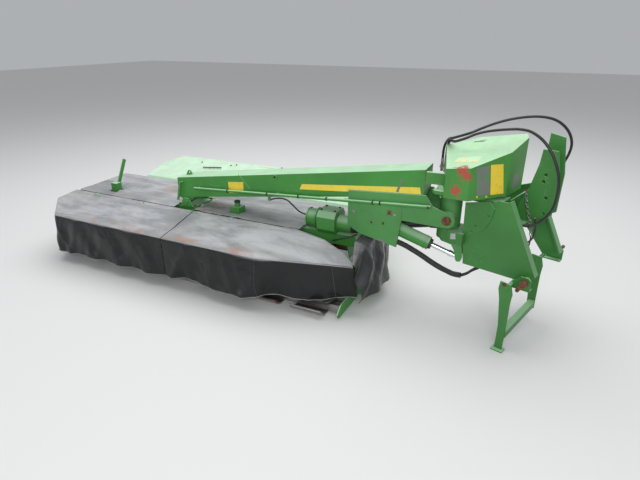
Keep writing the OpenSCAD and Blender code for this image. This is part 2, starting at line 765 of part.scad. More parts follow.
module swing_hub() {
    eye_gap = 23;
    lug_t = 14;
    color(green) row() {
        rod_z(king_x, king_y, hub_z0, hub_z1, hub_out_r);
        rod_y(king_x, boom_y0 + 1, boom_y1 - 1, lift_z, boss_r);
        rod_y(king_x, boom_y - fork_in - fork_t - 2, boom_y + fork_in + fork_t + 2, lift_z, lift_pin_r);
        rod_z(king_x, king_y, king_z0, guard_z0, king_r);
        rod_z(king_x, king_y, cap_z0, guard_z0, cap_r);
        rod_z(king_x, king_y, king_z0, king_z0 + arm_t, 60);
        slab_z([[king_x - 40, king_y - 50], [1452, cyl_y - eye_gap - lug_t],
            [1532, cyl_y - eye_gap - lug_t], [1536, 690], [king_x + 30, king_y + 50]],
            king_z0, king_z0 + arm_t);
        for (y = [cyl_y - eye_gap - lug_t, cyl_y + eye_gap])
            slab_y([[1452, king_z0 + 1], [1532, king_z0 + 1], [1544, 600], [1544, 548], [1534, 526],
                [1506, 526], [1496, 548], [1478, 620]], y, y + lug_t);
        rod_y(cyl_b[0], cyl_y - eye_gap - lug_t, cyl_y + eye_gap + lug_t, cyl_b[1], rod_pin_r);
    }
}

// the guard over the kingpin, seen from above, and its sloping top
guard_plan = [[1390, 412], [1562, 400], [1795, 640], [1880, 900], [1860, 985], [1520, 975],
    [1292, 866]];
guard_t = 6;
guard_slope = [0.16, 0.2];
guard_top = 1315;
module guard_solid(in, low) {
    intersection() {
        translate([0, 0, low]) linear_extrude(700) offset(delta = -in) polygon(guard_plan);
        translate([1390, 420, guard_top - in])
            multmatrix([[1, 0, 0, 0], [0, 1, 0, 0], [guard_slope[0], guard_slope[1], 1, 0],
                [0, 0, 0, 1]])
                translate([-800, -800, -900]) cube([1800, 1800, 900]);
    }
}
module drive_guard() {
    color(green) row() {
        difference() {
            guard_solid(0, guard_z0);
            guard_solid(guard_t, guard_z0 + guard_t);
            rod_z(king_x, king_y, guard_z0 - 1, guard_z0 + guard_t + 1, 60);
            block([1492, 880, 1340], [1568, 894, 1500]);
        }
        // bracket beside the end of the boom
        block([1222, 545, 1150], [1362, 573, 1238]);
        // nose of the cap plate under the guard's left side
        slab_z([[1290, 498], [1310, 470], [1384, 462], [1384, 540], [1310, 532]],
            guard_z0 + 2, guard_z0 + 28);
    }
}

// plate behind the guard with the fittings of the two hoses that rise from it
fitting_at = [[outer_rise[0][0], outer_rise[0][1]], [inner_rise[0][0], inner_rise[0][1]]];
fitting_top = outer_rise[0][2];
module hose_fittings() {
    color(steel) row() {
        slab_z([[1299, 870], [1333, 886], [1276, 952], [1236, 936]], 1186, 1194);
        for (p = fitting_at) {
            rod_z(p[0], p[1], 1160, fitting_top, 12);
            translate([p[0], p[1], 1193]) cylinder(h = 20, r = 17, $fn = 6);
        }
    }
}

near_leg = [[-174, 525], [330, 528], [365, 578], [109, 1090], [40, 1090], [-25, 1058],
    [-110, 980], [-197, 900], [-197, 755]];
far_leg = [[230, 528], [330, 528], [365, 578], [109, 1090], [40, 1090], [-197, 1000],
    [-197, 755], [42, 756]];
front_flange = [[365, 578], [378, 585], [122, 1097], [109, 1090]];
arc_plate = [[-207, 1026], [-199, 758], [-108, 783], [-28, 867], [7, 949], [19, 1024], [-23, 1073]];
arc_holes = [[-15, 964], [-106, 865], [-130, 811]];
flange_w = 70;
arc_t = 10;
module headstock_frame() {
    near_out = leg_near - leg_t / 2;
    near_in = leg_near + leg_t / 2;
    far_in = leg_far - leg_t / 2;
    far_out = leg_far + leg_t / 2;
    kx = head_king[0];
    ky = head_king[1];
    color(green) head() {
        slab_y(near_leg, near_out, near_in);
        slab_y(far_leg, far_in, far_out);
        slab_y(front_flange, near_out, near_out + flange_w);
        slab_y(front_flange, far_out - flange_w, far_out);
        difference() {
            slab_y(arc_plate, near_out - arc_t, near_out);
            for (h = arc_holes) rod_y(h[0], near_out - arc_t - 1, near_out - 2, h[1], 11);
        }
        // rear plate, shelf under the top link plates, and front plate
        block([-192, near_in, 700], [-180, far_in, 900]);
        block([-192, near_in, shelf_z - shelf_t], [182, far_in, shelf_z]);
        block([40, near_in, shelf_z], [52, far_in, top_tongue_z0 + 1]);
        // end fitting of the inner hose on the shelf
        block([78, -96, shelf_z - 1], [126, -56, 930]);
        difference() {
            union() {
                rod_z(kx, ky, tongue_z0, tongue_z1, tongue_r);
                block([kx, ky - tongue_r, tongue_z0], [kx + 60, ky + tongue_r, tongue_z1]);
                block([kx + 48, ky - tongue_side, tongue_z0], [-180, ky + tongue_side, tongue_z1]);
            }
            rod_z(kx, ky, tongue_z0 - 1, tongue_z1 + 1, king_r + pin_play);
        }
        difference() {
            union() {
                rod_z(kx, ky, top_tongue_z0, top_tongue_z1, 130);
                block([kx, ky - 50, top_tongue_z0], [52, ky + 130, top_tongue_z1]);
            }
            rod_z(kx, ky, top_tongue_z0 - 1, top_tongue_z1 + 1, king_r + pin_play);
        }
        // channel under each leg, with the tube of the hitch pin and the stand's pivot
        for (s = [[near_out, -1], [far_out, 1]]) {
            ear = s[0] + s[1] * ear_out;
            block([245, min(s[0] - s[1] * 2, ear), 487], [372, max(s[0] - s[1] * 2, ear), 495]);
            slab_y([[245, 487], [372, 487], [372, 575], [350, 592], [300, 592], [245, 540]],
                min(ear, ear - s[1] * ear_t), max(ear, ear - s[1] * ear_t));
            rod_y(pin_x, min(s[0] - s[1] * 3, ear), max(s[0] - s[1] * 3, ear), hitch_z, 27);
        }
        rod_y(stand_x, stand_near + 0.3, near_in, stand_z, 16);
        rod_y(stand_x, stand_near - stand_t - 8, stand_near + 1, stand_z, stand_pin_r);
        rod_y(stand_x, stand_far + 0.3, far_out, stand_z, 16);
        rod_y(stand_x, stand_far - stand_t - 8, stand_far + 1, stand_z, stand_pin_r);
    }
}

top_holes = [[247, 1269], [240, 1219], [275, 1102], [279, 984]];
module top_link_plates() {
    color(green) head() for (s = [0, 1]) {
        y = leg_mid - top_gap / 2 - top_t + s * (top_gap + top_t);
        difference() {
            slab_y([[54, shelf_z], [182, shelf_z], [336, 982], [341, 1269], [302, 1447 + 80 * s],
                [200, 1447 + 100 * s], [191, 1342], [145, 1139], [110, 1060]], y, y + top_t);
            for (h = top_holes) rod_y(h[0], y - 1, y + top_t + 1, h[1], top_hole_r);
        }
    }
}

module hitch_pins() {
    color(rust) head() for (s = [-1, 1]) {
        shoulder = leg_mid + s * pin_span / 2;
        tip = shoulder + s * 95;
        ear = s < 0 ? leg_near - leg_t / 2 - ear_out : leg_far + leg_t / 2 + ear_out;
        rod_y(pin_x, min(shoulder, ear), max(shoulder, ear), hitch_z, 27);
        rod_y(pin_x, min(shoulder - s, tip), max(shoulder - s, tip), hitch_z, hitch_r);
    }
}

module input_gearbox() {
    color(green) head() difference() {
        union() {
            block([-150, leg_mid - 105, 640], [30, leg_mid + 105, shelf_z - shelf_t]);
            rod_x(29, 44, leg_mid, input_z, 46);
            // block with the ports of the three hoses from the sleeve
            block([-64, -34, port_z], [6, leg_mid - 104, 756]);
        }
        rod_x(-80, 45, leg_mid, input_z, input_r + pin_play);
    }
}
spline_r = 17.5;
module input_shaft() {
    color(steel) head() {
        rod_x(-78, 50, leg_mid, input_z, input_r);
        rod_x(49, 118, leg_mid, input_z, spline_r);
    }
}

stand_leg = [[195, 560], [272, 552], [292, 480], [286, 400], [287, 150], [282, 7], [226, 7],
    [229, 200], [205, 420], [188, 500]];
stand_short = [[195, 560], [272, 552], [292, 480], [286, 400], [287, 90], [229, 90],
    [205, 420], [188, 500]];
module hose_coupler() {
    p = outer_route[len(outer_route) - 1];
    color(steel) row() {
        rod_z(p[0], p[1], p[2] - 34, p[2], 13);
        translate([p[0], p[1], p[2] - 62]) cylinder(h = 29, r = 17, $fn = 6);
        rod_z(p[0], p[1], p[2] - 92, p[2] - 61, 11);
    }
}

// a smooth line through the points of a route, in steps between each two of them
function between(p, i, t) = let (a = p[max(i - 1, 0)], b = p[i], c = p[i + 1],
    d = p[min(i + 2, len(p) - 1)])
    b + 0.5 * t * ((c - a) + t * ((2 * a - 5 * b + 4 * c - d) + t * (3 * b - a - 3 * c + d)));
function smooth(p, steps) = concat([for (i = [0 : len(p) - 2]) for (k = [0 : steps - 1])
    between(p, i, k / steps)], [p[len(p) - 1]]);
function unit(v) = v / norm(v);
// a tube along a route that sets out and arrives in given directions; across is a direction
// that the route never takes
module hose(route, r, out, arrive, across = [0, 1, 0], steps = 2) {
    way = smooth(route, steps);
    last = len(way) - 1;
    heading = [for (i = [0 : last]) i == 0 ? out : i == last ? arrive : way[i + 1] - way[i - 1]];
    side = [for (h = heading) unit(cross(h, across))];
    points = [for (i = [0 : last]) let (rise = cross(side[i], unit(heading[i])))
        for (k = [0 : hose_sides - 1])
            way[i] + r * (cos(360 * k / hose_sides) * side[i] + sin(360 * k / hose_sides) * rise)];
    walls = [for (i = [0 : last - 1]) for (k = [0 : hose_sides - 1])
        let (a = i * hose_sides + k, b = i * hose_sides + (k + 1) % hose_sides)
            each [[a, b, a + hose_sides], [b, b + hose_sides, a + hose_sides]]];
    ends = [[for (k = [hose_sides - 1 : -1 : 0]) k],
        [for (k = [0 : hose_sides - 1]) last * hose_sides + k]];
    polyhedron(points, concat(walls, ends));
}
module rising_hoses() {
    color(black) row() {
        hose(outer_rise, hose_r, up, over_king, inboard);
        hose(inner_rise, hose_r, up, over_king, inboard);
    }
}
module outer_hose() { color(black) row() hose(outer_route, hose_r, over_king, -up); }
module inner_hose() { color(black) row() hose(inner_route, hose_r, over_king, to_rear); }
module hose_sleeve() { color(black) row() hose(sleeve_route, sleeve_r, inboard, down_to_king, steps = 1); }
module sleeve_middle() {
    color(black) row() hose(sleeve_low, sleeve_r, down_to_king, under_king, steps = 1);
}
module sleeve_end() { color(black) row() hose(sleeve_rest, sleeve_r, inboard, inboard, steps = 1); }
module sleeve_tails() {
    color(black) row() for (route = tail_routes) hose(route, thin_r, inboard, up);
}
module breather_hose() { color(black) row() hose(breather_route, thin_r, inboard, inboard); }
module looped_hose() { color(black) row() hose(loop_route, thin_r, -up, to_far, inboard); }

module parking_stand() {
    color(green) head() {
        difference() {
            union() {
                slab_y(stand_leg, stand_near - stand_t, stand_near);
                slab_y(stand_short, stand_far - stand_t, stand_far);
            }
            rod_y(stand_x, stand_near - 20, stand_near + 5, stand_z, stand_pin_r + pin_play);
            rod_y(stand_x, stand_far - 20, stand_far + 5, stand_z, stand_pin_r + pin_play);
        }
        block([212, stand_near - 46, 0], [300, stand_near + 18, 8]);
        // crossbar, an angle with its flat side up
        block([238, stand_near - 1, 152], [290, stand_far - stand_t + 1, 160]);
        block([282, stand_near - 1, 110], [290, stand_far - stand_t + 1, 160]);
    }
}

cutter_bar();
wear_shoes();
disc_1();
disc_2();
disc_3();
disc_4();
disc_5();
disc_6();
disc_7();
main_beam();
outboard_end_frame();
inboard_end_frame();
conditioner_rotor();
upright_tines();
level_tines();
conditioner_hood();
swath_boards();
unit_gearbox();
drive_cone();
beam_saddle();
tilt_stop();
setting_lever();
guard_hinges();
outboard_guard_frame();
inboard_guard_frame();
outboard_guard_tarp();
inboard_guard_tarp();
top_tarp();
end_curtains();
boom_beam();
boom_fork();
boom_hanger();
support_rail();
shaft_tube();
shaft_slider();
lift_barrel();
lift_rod();
swing_hub();
drive_guard();
headstock_frame();
top_link_plates();
hitch_pins();
input_gearbox();
input_shaft();
parking_stand();
hose_fittings();
hose_coupler();
rising_hoses();
outer_hose();
inner_hose();
hose_sleeve();
sleeve_middle();
sleeve_end();
sleeve_tails();
breather_hose();
looped_hose();
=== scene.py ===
# %% [markdown]
# # A folded disc mower
#
# This lesson dresses a farm machine that is already modelled in CAD: a mower with a long tapered
# boom, folded behind its hitch and parked. The CAD parts give the true sizes and the joints. Blender
# adds what CAD leaves plain: the sagging tarpaulins, the hoses, the worn paint, rust and dust.
#
# We load the CAD parts first. Everything is in metres, X runs along the boom towards the hitch, Y
# runs from the front tarpaulin to the rear, and Z is up.

# %% Load the CAD parts
import bpy, bmesh, math
from mathutils import Vector, Matrix, noise


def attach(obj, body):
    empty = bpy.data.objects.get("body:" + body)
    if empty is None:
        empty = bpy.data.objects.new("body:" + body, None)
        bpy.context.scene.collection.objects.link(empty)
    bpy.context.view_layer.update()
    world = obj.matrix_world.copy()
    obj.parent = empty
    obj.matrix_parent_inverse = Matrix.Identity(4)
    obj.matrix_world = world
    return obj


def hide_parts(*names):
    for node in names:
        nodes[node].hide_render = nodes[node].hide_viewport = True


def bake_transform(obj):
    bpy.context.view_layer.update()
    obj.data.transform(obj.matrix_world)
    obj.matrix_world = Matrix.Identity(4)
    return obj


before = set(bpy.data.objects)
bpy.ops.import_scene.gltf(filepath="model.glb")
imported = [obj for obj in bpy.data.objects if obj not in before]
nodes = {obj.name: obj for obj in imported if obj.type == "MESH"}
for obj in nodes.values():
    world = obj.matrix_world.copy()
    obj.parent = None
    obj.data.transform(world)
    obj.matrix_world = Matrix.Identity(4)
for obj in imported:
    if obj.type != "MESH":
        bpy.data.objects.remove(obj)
scene = bpy.context.scene
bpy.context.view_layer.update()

# %% [markdown]
# The drawing of the machine puts its zero at the kink of the front tarpaulin. One helper turns
# millimetres of that drawing into metres of the scene, so that every place below can be read
# straight off the drawing.

# %% Places from the drawing
ROW_SHIFT = Vector((0.1675, -0.877, 0.0))


def at(x, y, z):
    """A point of the drawing, in millimetres, as a place in the scene."""
    return Vector((x, y, z)) / 1000 + ROW_SHIFT


print("drawing's zero at", [round(v, 4) for v in at(0, 0, 0)])

# %% [markdown]
# The camera stands at eye height before the machine's inboard half and looks down at it. A camera
# is aimed with three angles: the tilt up from straight down, no roll, and the turn about Z.

# %% Camera
FOCAL_PIXELS, PICTURE_WIDTH = 481.0, 640
SENSOR_WIDTH = 36.0
CAMERA_PITCH = 23.3
CAMERA_TURN = 25.5
camera_data = bpy.data.cameras.new("viewpoint")
camera_data.sensor_width = SENSOR_WIDTH
camera_data.lens = FOCAL_PIXELS / PICTURE_WIDTH * SENSOR_WIDTH
camera_data.clip_end = 200
camera = bpy.data.objects.new("viewpoint", camera_data)
camera.location = at(2017, -2984, 2200)
camera.rotation_euler = (math.radians(90 - CAMERA_PITCH), 0, math.radians(CAMERA_TURN))
scene.collection.objects.link(camera)
scene.camera = camera
print("lens", round(camera_data.lens, 2), "mm")

# %% [markdown]
# An overcast sky is one huge soft light overhead, so faces that look up are bright and the sides
# fall off gently. A large area lamp above, a weaker one in front and a pale world give that here.

# %% Floor and light
bpy.ops.object.select_all(action="DESELECT")
bpy.ops.mesh.primitive_plane_add(size=60, location=(0, 0, 0))
floor = bpy.context.object
floor.name = "floor"
floor_paint = bpy.data.materials.new("floor_paint")
floor_paint.use_nodes = True
floor_shader = floor_paint.node_tree.nodes["Principled BSDF"]
floor_shader.inputs["Base Color"].default_value = (0.76, 0.76, 0.75, 1)
floor_shader.inputs["Roughness"].default_value = 0.9
floor.data.materials.append(floor_paint)

world = bpy.data.worlds.new("pale_sky")
world.use_nodes = True
world.node_tree.nodes["Background"].inputs["Color"].default_value = (0.93, 0.96, 1.0, 1)
world.node_tree.nodes["Background"].inputs["Strength"].default_value = 0.45
scene.world = world


def soft_lamp(name, place, aim, size, power):
    lamp_data = bpy.data.lights.new(name, "AREA")
    lamp_data.shape = "RECTANGLE"
    lamp_data.size, lamp_data.size_y = size
    lamp_data.energy = power
    lamp = bpy.data.objects.new(name, lamp_data)
    lamp.location = place
    lamp.rotation_euler = (Vector(aim) - Vector(place)).to_track_quat("-Z", "Y").to_euler()
    scene.collection.objects.link(lamp)


soft_lamp("sky_lamp", (-0.5, 1.5, 7.0), (0, 0, 0.5), (9, 7), 440)
soft_lamp("front_lamp", (3.0, -7.5, 4.0), (0, 0, 0.6), (4, 2.4), 215)
scene.view_settings.view_transform = "Standard"
print("lamps:", [lamp.name for lamp in bpy.data.lights])

# %% [markdown]
# ## Finishes
#
# A finish is a graph of nodes. Effects that several finishes share, such as rust that starts in
# spots and spreads, are built once as a node group with named sockets, and each material places the
# group with its own values. These small helpers keep the graphs short to write.

# %% Node helpers


class Graph:
    """Writes nodes into a material or a group, and links them as they are made. Its place is where a
    point is on the piece itself, so that a pattern moves with the piece."""

    def __init__(self, tree):
        self.tree = tree
        self.place = self.add("ShaderNodeTexCoord").outputs["Object"]

    def add(self, kind, inputs=None, **settings):
        made = self.tree.nodes.new(kind)
        for key, value in settings.items():
            setattr(made, key, value)
        for key, value in (inputs or {}).items():
            self.feed(made.inputs[key], value)
        return made

    def feed(self, socket, value):
        if isinstance(value, bpy.types.NodeSocket):
            self.tree.links.new(value, socket)
        elif isinstance(value, bpy.types.Node):
            self.tree.links.new(value.outputs[0], socket)
        else:
            socket.default_value = value

    def math(self, operation, a, b, clamp=False):
        return self.add("ShaderNodeMath", {0: a, 1: b}, operation=operation, use_clamp=clamp).outputs[0]

    def times(self, a, b, clamp=False):
        return self.math("MULTIPLY", a, b, clamp)

    def plus(self, a, b, clamp=False):
        return self.math("ADD", a, b, clamp)

    def noise(self, scale, detail=4.0, rough=0.55, warp=0.0, place=None):
        return self.add("ShaderNodeTexNoise", {
            "Vector": self.place if place is None else place, "Scale": scale, "Detail": detail,
            "Roughness": rough, "Distortion": warp}).outputs["Fac"]

    def ramp(self, value, low, high):
        made = self.add("ShaderNodeMapRange", {"Value": value, "From Min": low, "From Max": high})
        made.interpolation_type = "SMOOTHSTEP"
        return made.outputs["Result"]

    def mix(self, factor, a, b):
        made = self.add("ShaderNodeMix", data_type="RGBA")
        for socket, value in ((made.inputs[0], factor), (made.inputs[6], a), (made.inputs[7], b)):
            self.feed(socket, value)
        return made.outputs[2]

    def stretch(self, *scale):
        """The place drawn together along X, Y and Z, which draws a pattern out the other way."""
        return self.add("ShaderNodeMapping", {"Vector": self.place, "Scale": scale}).outputs[0]

    def bump(self, strength, distance, height, **under):
        return self.add("ShaderNodeBump", {"Strength": strength, "Distance": distance,
                                           "Height": height, **under}).outputs[0]

    def effect(self, name, **values):
        """A shared effect with its own values; gives back the effect's outputs."""
        return self.add("ShaderNodeGroup", values, node_tree=bpy.data.node_groups[name]).outputs


print("graph helpers:", [name for name in vars(Graph) if not name.startswith("_")])

# %% [markdown]
# A group is written with the same helpers. It has its own inputs and outputs, which a material sees
# as sockets with names. Outdoor steel wears first where it is knocked, so the first group gives a
# mask of bare edges, taken from how far a rounded normal turns away from the flat one.

# %% Bare edges


def new_group(name, inputs, outputs):
    """An empty node group with float inputs and colour or float outputs."""
    tree = bpy.data.node_groups.new(name, "ShaderNodeTree")
    for socket_name, start in inputs:
        made = tree.interface.new_socket(socket_name, in_out="INPUT", socket_type="NodeSocketFloat")
        made.default_value = start
    for socket_name, kind in outputs:
        tree.interface.new_socket(socket_name, in_out="OUTPUT", socket_type=kind)
    graph = Graph(tree)
    graph.given, graph.result = graph.add("NodeGroupInput").outputs, graph.add("NodeGroupOutput").inputs
    return graph


FLOAT, COLOUR = "NodeSocketFloat", "NodeSocketColor"
g = new_group("edge_wear", [("Width", 0.004), ("Amount", 1.0)], [("Mask", FLOAT)])
rounded = g.add("ShaderNodeBevel", {"Radius": g.given["Width"]}, samples=4)
flat = g.add("ShaderNodeNewGeometry")
turn = g.add("ShaderNodeVectorMath", {0: rounded, 1: flat.outputs["Normal"]}, operation="DOT_PRODUCT")
bare = g.ramp(g.math("SUBTRACT", 1.0, turn.outputs["Value"]), 0.03, 0.22)
broken = g.ramp(g.noise(34.0, 5.0, 0.65), 0.44, 0.60)
g.feed(g.result["Mask"], g.times(g.times(bare, broken), g.given["Amount"], True))
print("first effect:", g.tree.name)

# %% [markdown]
# The next group gives rust, which starts where water stands: large soft patches that break up into
# small spots. The third gives dust and sun bleaching, which both settle on faces that look up; on the
# glossy cloth that pale top is partly a painted highlight. The fourth is one ragged patch round a
# point, where paint has been knocked or rubbed off, and the last is a set of fine scratches.

# %% Shared effects
DARK_RUST, LIGHT_RUST = (0.075, 0.032, 0.018, 1), (0.24, 0.095, 0.045, 1)

g = new_group("rust_spots", [("Size", 3.0), ("Spread", 0.5), ("Seed", 0.0)],
              [("Mask", FLOAT), ("Color", COLOUR)])
shift = g.add("ShaderNodeCombineXYZ", {"X": g.given["Seed"], "Y": g.given["Seed"]})
shifted = g.add("ShaderNodeVectorMath", {0: g.place, 1: shift}, operation="ADD").outputs[0]
patch = g.noise(g.given["Size"], 3.0, 0.5, place=shifted)
grit = g.noise(g.times(g.given["Size"], 14.0), 6.0, 0.7, place=shifted)
both = g.plus(g.times(patch, 0.72), g.times(grit, 0.28))
level = g.math("SUBTRACT", 0.78, g.times(g.given["Spread"], 0.30))
g.feed(g.result["Mask"], g.ramp(both, level, g.plus(level, 0.05)))
tone = g.noise(46.0, 5.0, 0.7, place=shifted)
g.feed(g.result["Color"], g.mix(g.ramp(tone, 0.35, 0.65), DARK_RUST, LIGHT_RUST))

g = new_group("settled_dust", [("Amount", 0.5), ("Scale", 6.0)], [("Mask", FLOAT), ("Up", FLOAT)])
normal = g.add("ShaderNodeTexCoord").outputs["Normal"]
up = g.add("ShaderNodeSeparateXYZ", {0: normal}).outputs["Z"]
facing = g.ramp(up, 0.15, 0.95)
cloud = g.ramp(g.noise(g.given["Scale"], 6.0, 0.68), 0.30, 0.72)
g.feed(g.result["Mask"], g.times(g.times(facing, cloud), g.given["Amount"], True))
g.feed(g.result["Up"], facing)

g = new_group("worn_patch", [("X", 0.0), ("Y", 0.0), ("Z", 0.0), ("Radius", 0.05)], [("Mask", FLOAT)])
centre = g.add("ShaderNodeCombineXYZ", {axis: g.given[axis] for axis in "XYZ"}).outputs[0]
away = g.add("ShaderNodeVectorMath", {0: g.place, 1: centre}, operation="DISTANCE").outputs["Value"]
ragged = g.times(g.noise(27.0, 8.0, 0.78), 4.6)
ragged = g.plus(g.math("DIVIDE", away, g.given["Radius"]), ragged)
g.feed(g.result["Mask"], g.ramp(ragged, 3.12, 3.02))

g = new_group("scratches", [("Density", 0.5)], [("Mask", FLOAT)])
fine = None
for squeeze in ((4, 90, 90), (80, 5, 70), (60, 70, 4)):
    streak = g.ramp(g.noise(1.0, 3.0, 0.5, place=g.stretch(*squeeze)), 0.66, 0.72)
    fine = streak if fine is None else g.math("MAXIMUM", fine, streak)
gate = g.ramp(g.noise(2.6, 3.0), 0.5, 0.62)
g.feed(g.result["Mask"], g.times(g.times(fine, gate), g.given["Density"], True))
print("effects:", [group.name for group in bpy.data.node_groups])

# %% [markdown]
# The machine's paint is a mid green enamel. Its sides are still deep and a little glossy. Faces that
# look up have gone chalky and pale, rust shows through in spots, and dust lies in the corners. One
# function mixes those effects, and the pieces differ in how far each has gone.

# %% Painted steel


class Finish(Graph):
    """A material of its own, with the graph that feeds its shader."""

    def __init__(self, name):
        self.made = bpy.data.materials.new(name)
        self.made.use_nodes = True
        super().__init__(self.made.node_tree)

    def coat(self, values):
        for name, value in values.items():
            self.feed(self.tree.nodes["Principled BSDF"].inputs[name], value)
        return self.made


def tints(colour, low, high):
    """A darker and a lighter tint of one colour."""
    return [[min(1, c * share) for c in colour] + [1] for share in (low, high)]


DRY_DUST, PALE_SCRATCH, BARE_EDGE = (0.33, 0.31, 0.25, 1), (0.30, 0.42, 0.30, 1), (0.16, 0.10, 0.07, 1)


def painted_steel(name, colour, chalky, rust, bleach, seed=0.0, rust_size=3.0, patches=()):
    m = Finish(name)
    dust = m.effect("settled_dust", Amount=0.55, Scale=5.0)
    spots = m.effect("rust_spots", Size=rust_size, Spread=rust, Seed=seed)
    edges = m.effect("edge_wear", Width=0.004, Amount=0.8)["Mask"]
    lines = m.effect("scratches", Density=0.35)["Mask"]
    shade = m.mix(m.ramp(m.noise(1.7, 4.0, 0.6), 0.3, 0.7), *tints(colour, 0.86, 1.12))
    worn = m.mix(m.times(dust["Up"], bleach), shade, chalky)
    worn = m.mix(m.times(dust["Mask"], 0.55), worn, DRY_DUST)
    worn = m.mix(lines, worn, PALE_SCRATCH)
    for centre, radius, tone in patches:
        patch = m.effect("worn_patch", X=centre.x, Y=centre.y, Z=centre.z, Radius=radius)
        worn = m.mix(patch["Mask"], worn, tone)
    bared = m.mix(edges, worn, BARE_EDGE)
    matt = m.math("MAXIMUM", spots["Mask"], edges)
    smooth = m.plus(0.36, m.times(m.noise(9.0, 5.0, 0.6), 0.16))
    height = m.plus(m.times(m.noise(60.0, 4.0, 0.6), 0.35), m.times(matt, 0.6))
    return m.coat({"Base Color": m.mix(spots["Mask"], bared, spots["Color"]),
                   "Roughness": m.plus(smooth, m.times(matt, 0.38), True),
                   "Normal": m.bump(0.16, 0.0015, height)})


print("a darker and a lighter green:", tints([0.055, 0.262, 0.044], 0.86, 1.12))

# %% [markdown]
# The guard and the boom's fork plate have patches of red primer and bare grey, each at its own place
# on the drawing. The hood is the palest, because it lies flat under the sun.

# %% Six paints
GREEN = [0.055, 0.262, 0.044]
CHALK = (0.52, 0.84, 0.55, 1)
PRIMER, GREY_WEAR = (0.42, 0.085, 0.045, 1), (0.20, 0.22, 0.20, 1)
GUARD_PATCHES = [(at(1500, 404, 1322), 0.055, PRIMER), (at(1530, 404, 1280), 0.050, PRIMER),
                 (at(1476, 406, 1158), 0.046, PRIMER), (at(1838, 772, 1190), 0.060, GREY_WEAR),
                 (at(1560, 900, 1440), 0.030, (0.30, 0.36, 0.28, 1))]
BOOM_PATCHES = [(at(944, 560, 859), 0.030, (0.16, 0.065, 0.03, 1)), (at(-1089, 580, 780), 0.045, GREY_WEAR),
                (at(880, 560, 590), 0.040, GREY_WEAR)]
green_paint = painted_steel("green_paint", GREEN, CHALK, rust=0.26, bleach=0.72)
boom_paint = painted_steel("boom_paint", [0.050, 0.268, 0.040], CHALK, rust=0.16, bleach=0.85, seed=1.3)
skirt_paint = painted_steel("skirt_paint", [0.070, 0.272, 0.066], CHALK, rust=0.16, bleach=0.8, seed=2.2,
                            patches=BOOM_PATCHES)
guard_paint = painted_steel("guard_paint", [0.060, 0.275, 0.044], (0.50, 0.84, 0.50, 1), rust=0.24,
                            bleach=0.92, seed=3.1, rust_size=4.0, patches=GUARD_PATCHES)
hood_paint = painted_steel("hood_paint", [0.10, 0.36, 0.12], (0.62, 0.86, 0.64, 1), rust=0.14,
                           bleach=0.95, seed=7.0)
leg_paint = painted_steel("leg_paint", [0.045, 0.215, 0.040], (0.42, 0.78, 0.44, 1), rust=0.20,
                          bleach=0.75, seed=5.0)
print("paints:", [paint.name for paint in bpy.data.materials])

# %% [markdown]
# Bare metal comes in three states here: the cutting parts are steel polished by grass, the hitch
# pins and the tine rotor are rusted through, and the cylinder's rod is hard chrome.

# %% Bare steel, rust and chrome


def bare_steel(name, colour, rust, rough, seed=0.0):
    m = Finish(name)
    spots = m.effect("rust_spots", Size=7.0, Spread=rust, Seed=seed)
    rusted = spots["Mask"]
    grain = m.noise(3.0, 5.0, 0.6, place=m.stretch(12, 60, 60))
    return m.coat({"Base Color": m.mix(rusted, m.mix(grain, *tints(colour, 0.75, 1.2)), spots["Color"]),
                   "Metallic": m.math("SUBTRACT", 0.95, m.times(rusted, 0.9)),
                   "Roughness": m.plus(rough, m.times(rusted, 0.4), True),
                   "Normal": m.bump(0.3, 0.001, m.plus(m.noise(80.0, 5.0, 0.7), rusted))})


worn_steel = bare_steel("worn_steel", [0.36, 0.35, 0.33], rust=0.62, rough=0.34)
rusty_steel = bare_steel("rusty_steel", [0.30, 0.22, 0.18], rust=1.25, rough=0.55, seed=2.0)
rod_chrome = bare_steel("rod_chrome", [0.80, 0.81, 0.83], rust=0.12, rough=0.10, seed=9.0)
print("metals:", worn_steel.name, rusty_steel.name, rod_chrome.name)

# %% [markdown]
# The tarpaulin is a coated cloth, nearly black where clean. Faces that look up are painted pale grey
# in cloudy patches, with pale dust: partly tide marks from rain, sun dulling and chaff, partly a painted
# highlight of the sky on the glossy cloth. Dried grass and rust have stained a band along the front
# edge. A fine weave and long soft creases are bumps.

# %% Tarpaulin and rubber


FRONT_EDGE = at(0, 0, 0).y
# The pale grey and the chaff colour on top are partly a painted highlight on the glossy cloth.
FADE_AND_SHEEN_GREY, CHAFF_AND_SHEEN, RUST_STAIN = (0.47, 0.48, 0.51, 1), (0.50, 0.50, 0.48, 1), (0.42, 0.22, 0.13, 1)
WEAVE_PITCH = 240.0


